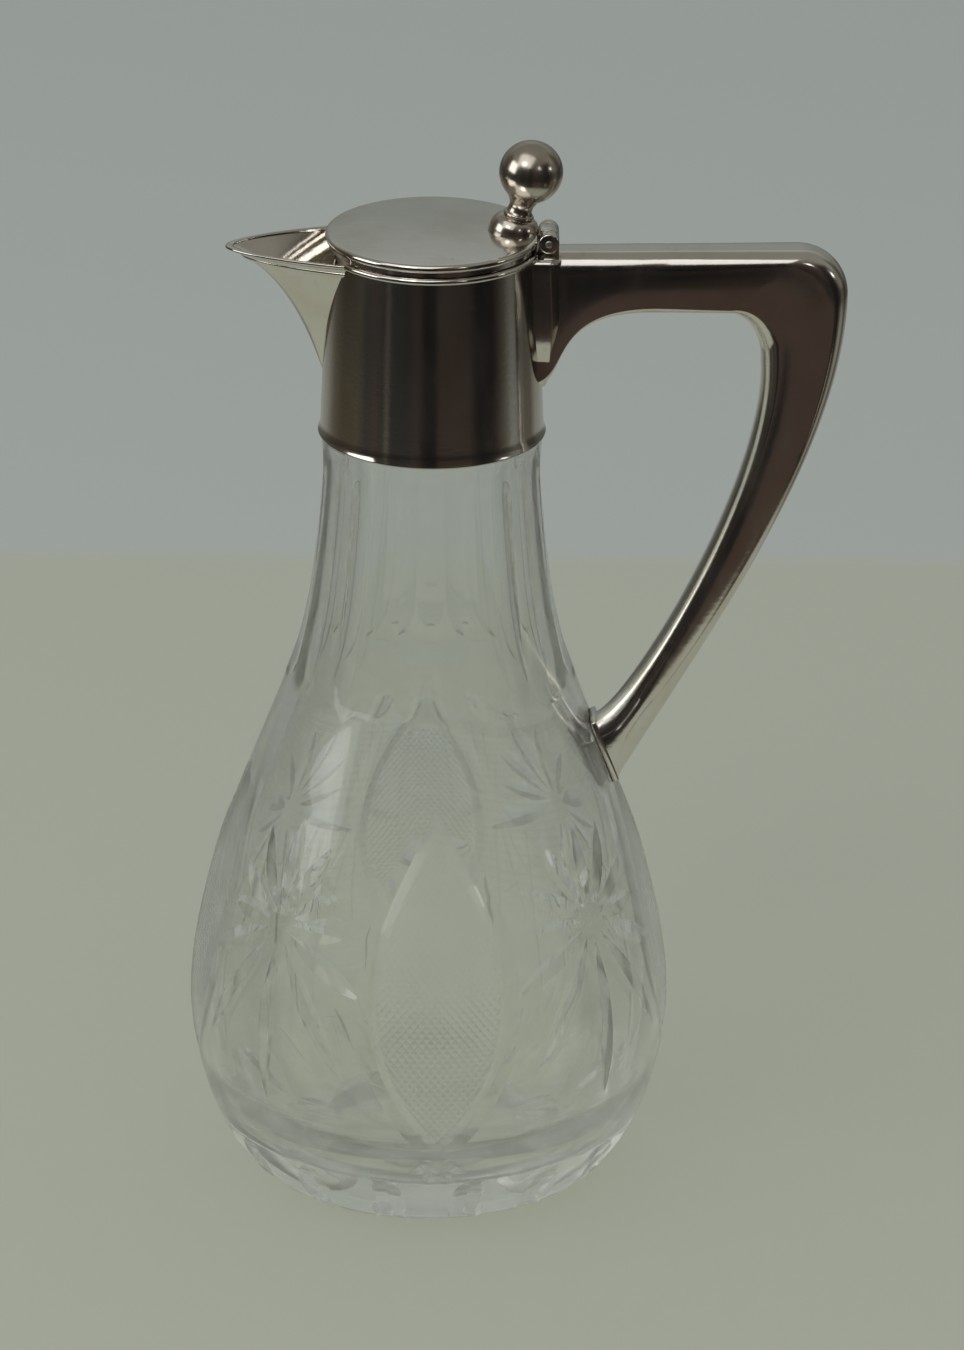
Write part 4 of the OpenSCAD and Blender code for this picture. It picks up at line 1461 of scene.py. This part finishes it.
    def build(self, plate: bpy.types.Material, pin: bpy.types.Material, shaded_thumb_finish: bpy.types.Material) -> None:
        """Makes the lid, its hinge and its thumbpiece.

        Args:
            plate: the plated finish.
            pin: the finish of the hinge's pin.
            shaded_thumb_finish: the thumbpiece's darker finish, the plate's colours darkened as painted shade
                for the dark room that the ball mirrors, with heavier tarnish.
        """
        s = self.sizes
        hand_over(self.make_disc(), Body.LID, Slot.PLATE, plate, "lid_disc")
        hand_over(self.make_knuckle(), Body.LID, Slot.PLATE, plate, "lid_knuckle")
        ball = self.make_thumbpiece()
        hand_over(ball, Body.LID, Slot.PLATE, shaded_thumb_finish, "thumb_foot", "thumb_stem", "thumb_ball")
        hand_over(self.make_ears(), Body.JUG, Slot.PLATE, plate, "hinge_ears")
        bar = smooth(s.barrel("hinge_pin", s.barrel_len + 0.6, s.pin_r, 0.25))
        hand_over(bar, Body.JUG, Slot.PLATE, pin, "hinge_pin")


# ---- studio -------------------------------------------------------------------------------------------


@dataclass
class Studio:
    """The table, the soft light and the camera."""

    table: Colour = (0.385, 0.405, 0.338)
    wall: Colour = (0.378, 0.410, 0.388)
    gleam: Colour = (0.24, 0.235, 0.17)
    gleam_angle: float = 1.01
    gleam_reach: float = 0.46
    ceiling_near: Colour = (0.095, 0.085, 0.068)
    ceiling_far: Colour = (0.22, 0.215, 0.19)
    through_near: Colour = (0.50, 0.52, 0.48)
    through_far: Colour = (0.33, 0.35, 0.325)
    sky: float = 0.66
    edge_y: float = 0.425
    camera_at: Point = (0.0, -1.760, 0.873)
    pitch: float = 22.69
    yaw: float = 0.43
    roll: float = 0.49
    focal: float = 7441.0
    frame_h: float = 1350.0

    def build(self) -> None:
        """Makes everything round the jug."""
        self.make_floor()
        self.make_world()
        self.make_lamps()
        self.make_camera()

    def surroundings(self, g: Graph, x: Field, y: Field) -> bpy.types.NodeSocket:
        """What polished metal shows of the room, by direction from the jug.

        Args:
            g: the tree.
            x: sideways part of the direction.
            y: the part away from the camera.

        Returns:
            The colour: a dark room in front, lighter at its sides, and the pale wall behind.
        """
        dark, black, brown = (0.032, 0.030, 0.027), (0.011, 0.010, 0.009), (0.055, 0.037, 0.028)
        olive, shade, pale = (0.070, 0.058, 0.036), (0.115, 0.105, 0.080), (0.25, 0.25, 0.22)
        stops = [(-180, self.wall), (-138, pale), (-122, shade), (-106, olive), (-82, olive), (-72, dark),
                 (-60, brown), (-51, dark), (-47, shade), (-43, dark), (-24, dark), (-14, brown), (-8, black),
                 (3, black), (7, brown), (38, brown), (47, black), (66, black), (72, brown), (81, shade),
                 (89, pale), (101, pale), (110, shade), (122, shade), (132, pale), (180, self.wall)]
        about = g.math("ARCTAN2", x, -y) / math.tau + 0.5
        return g.ramp(about, [(degrees / 360 + 0.5, tone) for degrees, tone in stops])

    def make_floor(self) -> None:
        """The table, which turns into the grey wall's tone beyond its far edge."""
        floor = new_object("table", [(-9000, -9000, 0), (9000, -9000, 0), (9000, 9000, 0), (-9000, 9000, 0)],
                           [[0, 1, 2, 3]])
        f = Finish("table_top")
        x, y, _ = f.split(f.place)
        far = y.ease(self.edge_y - 0.008, self.edge_y + 0.008)
        tone = f.blend(far, rgba(self.table), rgba(self.wall))
        # Painted reflection for polished metal: past the table's near edges, mirrored rays see the room's
        # tones painted on the floor, darkened far away as painted shade.
        path = f.node("ShaderNodeLightPath")
        mirrored = f.field(path, "Is Glossy Ray") * (1.0 - f.field(path, "Is Transmission Ray"))
        reach = (x * x + y * y) ** 0.5
        past_edge = mirrored * reach.ease(0.27, 0.33)
        # Painted highlight: a pale gleam on the floor that only mirrored rays see.
        aside = abs(f.math("ARCTAN2", x, -y) - self.gleam_angle).ease(0.05, 0.10)
        gleam = (1.0 - aside) * (1.0 - abs(reach - self.gleam_reach).ease(0.05, 0.09))
        distant = f.vector("SCALE", self.surroundings(f, x, y), scale=mix(1.0, 0.4, reach.ease(0.60, 0.85)))
        room = f.blend(gleam, distant, rgba(self.gleam))
        f.set(Base_Color=f.blend(past_edge, tone, room), Roughness=0.9, Specular_IOR_Level=0.1)
        floor.data.materials.append(f.material)

    def make_world(self) -> None:
        """Soft light from all round, and the room that polished metal shows."""
        world = bpy.data.worlds.new("room")
        world.use_nodes = True
        bpy.context.scene.world = world
        g = Graph(world.node_tree)
        # Each kind of ray meets its own tone: metal the room, glass a lit ceiling, and the rest an even sky.
        x, y, z = g.split(g.node("ShaderNodeTexCoord").outputs["Generated"])
        path = g.node("ShaderNodeLightPath")
        level = rgba((self.sky, self.sky, self.sky))
        ceiling = g.blend(y.ease(-0.9, -0.1), rgba(self.ceiling_near), rgba(self.ceiling_far))
        upright = g.vector("SCALE", self.surroundings(g, x, y), scale=mix(0.62, 0.95, z.ease(0.28, 0.47)))
        room = g.blend(z.ease(0.50, 0.68), upright, ceiling)
        seen = g.blend(g.field(path, "Is Glossy Ray"), level, room)
        through = g.blend(y.ease(0.3, 0.7), rgba(self.through_near), rgba(self.through_far))
        seen = g.blend(g.field(path, "Is Transmission Ray"), seen, through)
        seen = g.blend(g.field(path, "Diffuse Depth").above(0.5), seen, level)
        seen = g.blend(g.field(path, "Is Camera Ray"), seen, rgba(self.wall))
        sky = g.node("ShaderNodeBackground", None, {"Color": seen, "Strength": 1.0})
        g.node("ShaderNodeOutputWorld", None, {"Surface": sky.outputs[0]})

    def lamp(self, name: str, at: Point, size: tuple[float, float], power: float) -> None:
        """A soft lamp that points at the jug.

        Args:
            name: its name.
            at: its place in metres.
            size: its sides in metres.
            power: its power in watts.
        """
        data = bpy.data.lights.new(name, "AREA")
        data.shape, data.size, data.size_y, data.energy = "RECTANGLE", size[0], size[1], power
        lamp = bpy.data.objects.new(name, data)
        lamp.location = at
        lamp.rotation_euler = (Vector((0, 0, 0.15)) - Vector(at)).to_track_quat("-Z", "Y").to_euler()
        bpy.context.scene.collection.objects.link(lamp)

    def make_lamps(self) -> None:
        """Two large soft lamps on the left and smaller ones that give the glints."""
        self.lamp("window", (-2.0, -0.5, 1.0), (1.2, 1.2), 9)
        self.lamp("panel", (-0.58, -0.95, 1.95), (1.9, 1.7), 9)
        self.lamp("bulb", (-0.60, -1.00, 1.42), (0.42, 0.36), 1.6)
        self.lamp("glint_near", (0.95, -1.45, 1.20), (0.22, 0.22), 0.5)
        self.lamp("glint_side", (1.90, -0.43, 0.75), (0.22, 0.22), 0.5)

    def make_camera(self) -> None:
        """The camera at the photograph's place."""
        pitch, yaw, roll = (math.radians(v) for v in (self.pitch, self.yaw, self.roll))
        ahead = Vector((math.sin(yaw) * math.cos(pitch), math.cos(yaw) * math.cos(pitch), -math.sin(pitch)))
        right = Vector((math.cos(yaw), -math.sin(yaw), 0))
        up = right.cross(ahead)
        side = math.cos(roll) * right + math.sin(roll) * up
        top = math.cos(roll) * up - math.sin(roll) * right
        data = bpy.data.cameras.new("camera")
        data.sensor_width = 36.0
        data.lens = self.focal * 36.0 / self.frame_h
        data.clip_start, data.clip_end = 0.05, 50
        camera = bpy.data.objects.new("camera", data)
        turn = Matrix((side, top, -ahead)).transposed().to_4x4()
        camera.matrix_world = Matrix.Translation(self.camera_at) @ turn
        bpy.context.scene.collection.objects.link(camera)
        bpy.context.scene.camera = camera
        bpy.context.scene.view_settings.view_transform = "Standard"


def main() -> None:
    """Builds the jug piece by piece in its studio."""
    logging.basicConfig(level=logging.INFO, format="%(name)s: %(message)s")
    glass = LeadGlass("cut_glass").make()
    plate = PlatedMetal("silver_plate").make()
    worn = PlatedMetal("worn_plate", tarnish_share=0.7, roughness=0.3).make()
    # Painted shade: the thumbpiece's plate is a darker copy of the silver plate, standing for the dark room
    # that it mirrors, with heavier tarnish.
    shaded_thumb_finish = PlatedMetal("thumb_plate", (0.60, 0.55, 0.48), (0.40, 0.32, 0.22), 0.6, 0.16).make()
    plaster = Granular("plaster", (0.80, 0.77, 0.70), (0.62, 0.58, 0.50), 900).make()
    cork = Granular("cork", (0.10, 0.085, 0.070), (0.045, 0.036, 0.030), 900).make()
    body = CutGlass()
    body.build(glass)
    spout = Spout()
    spout.build(plate)
    Collar(spout).build(plate)
    Handle(body).build(plate, cork)
    Lid().build(plate, worn, shaded_thumb_finish)
    for name, finish in {"plaster_bedding": plaster, "deck_ring": worn, "lid_bezel": plate}.items():
        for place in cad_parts[name].material_slots:
            place.material = finish
    Studio().build()


if __name__ == "__main__":
    main()
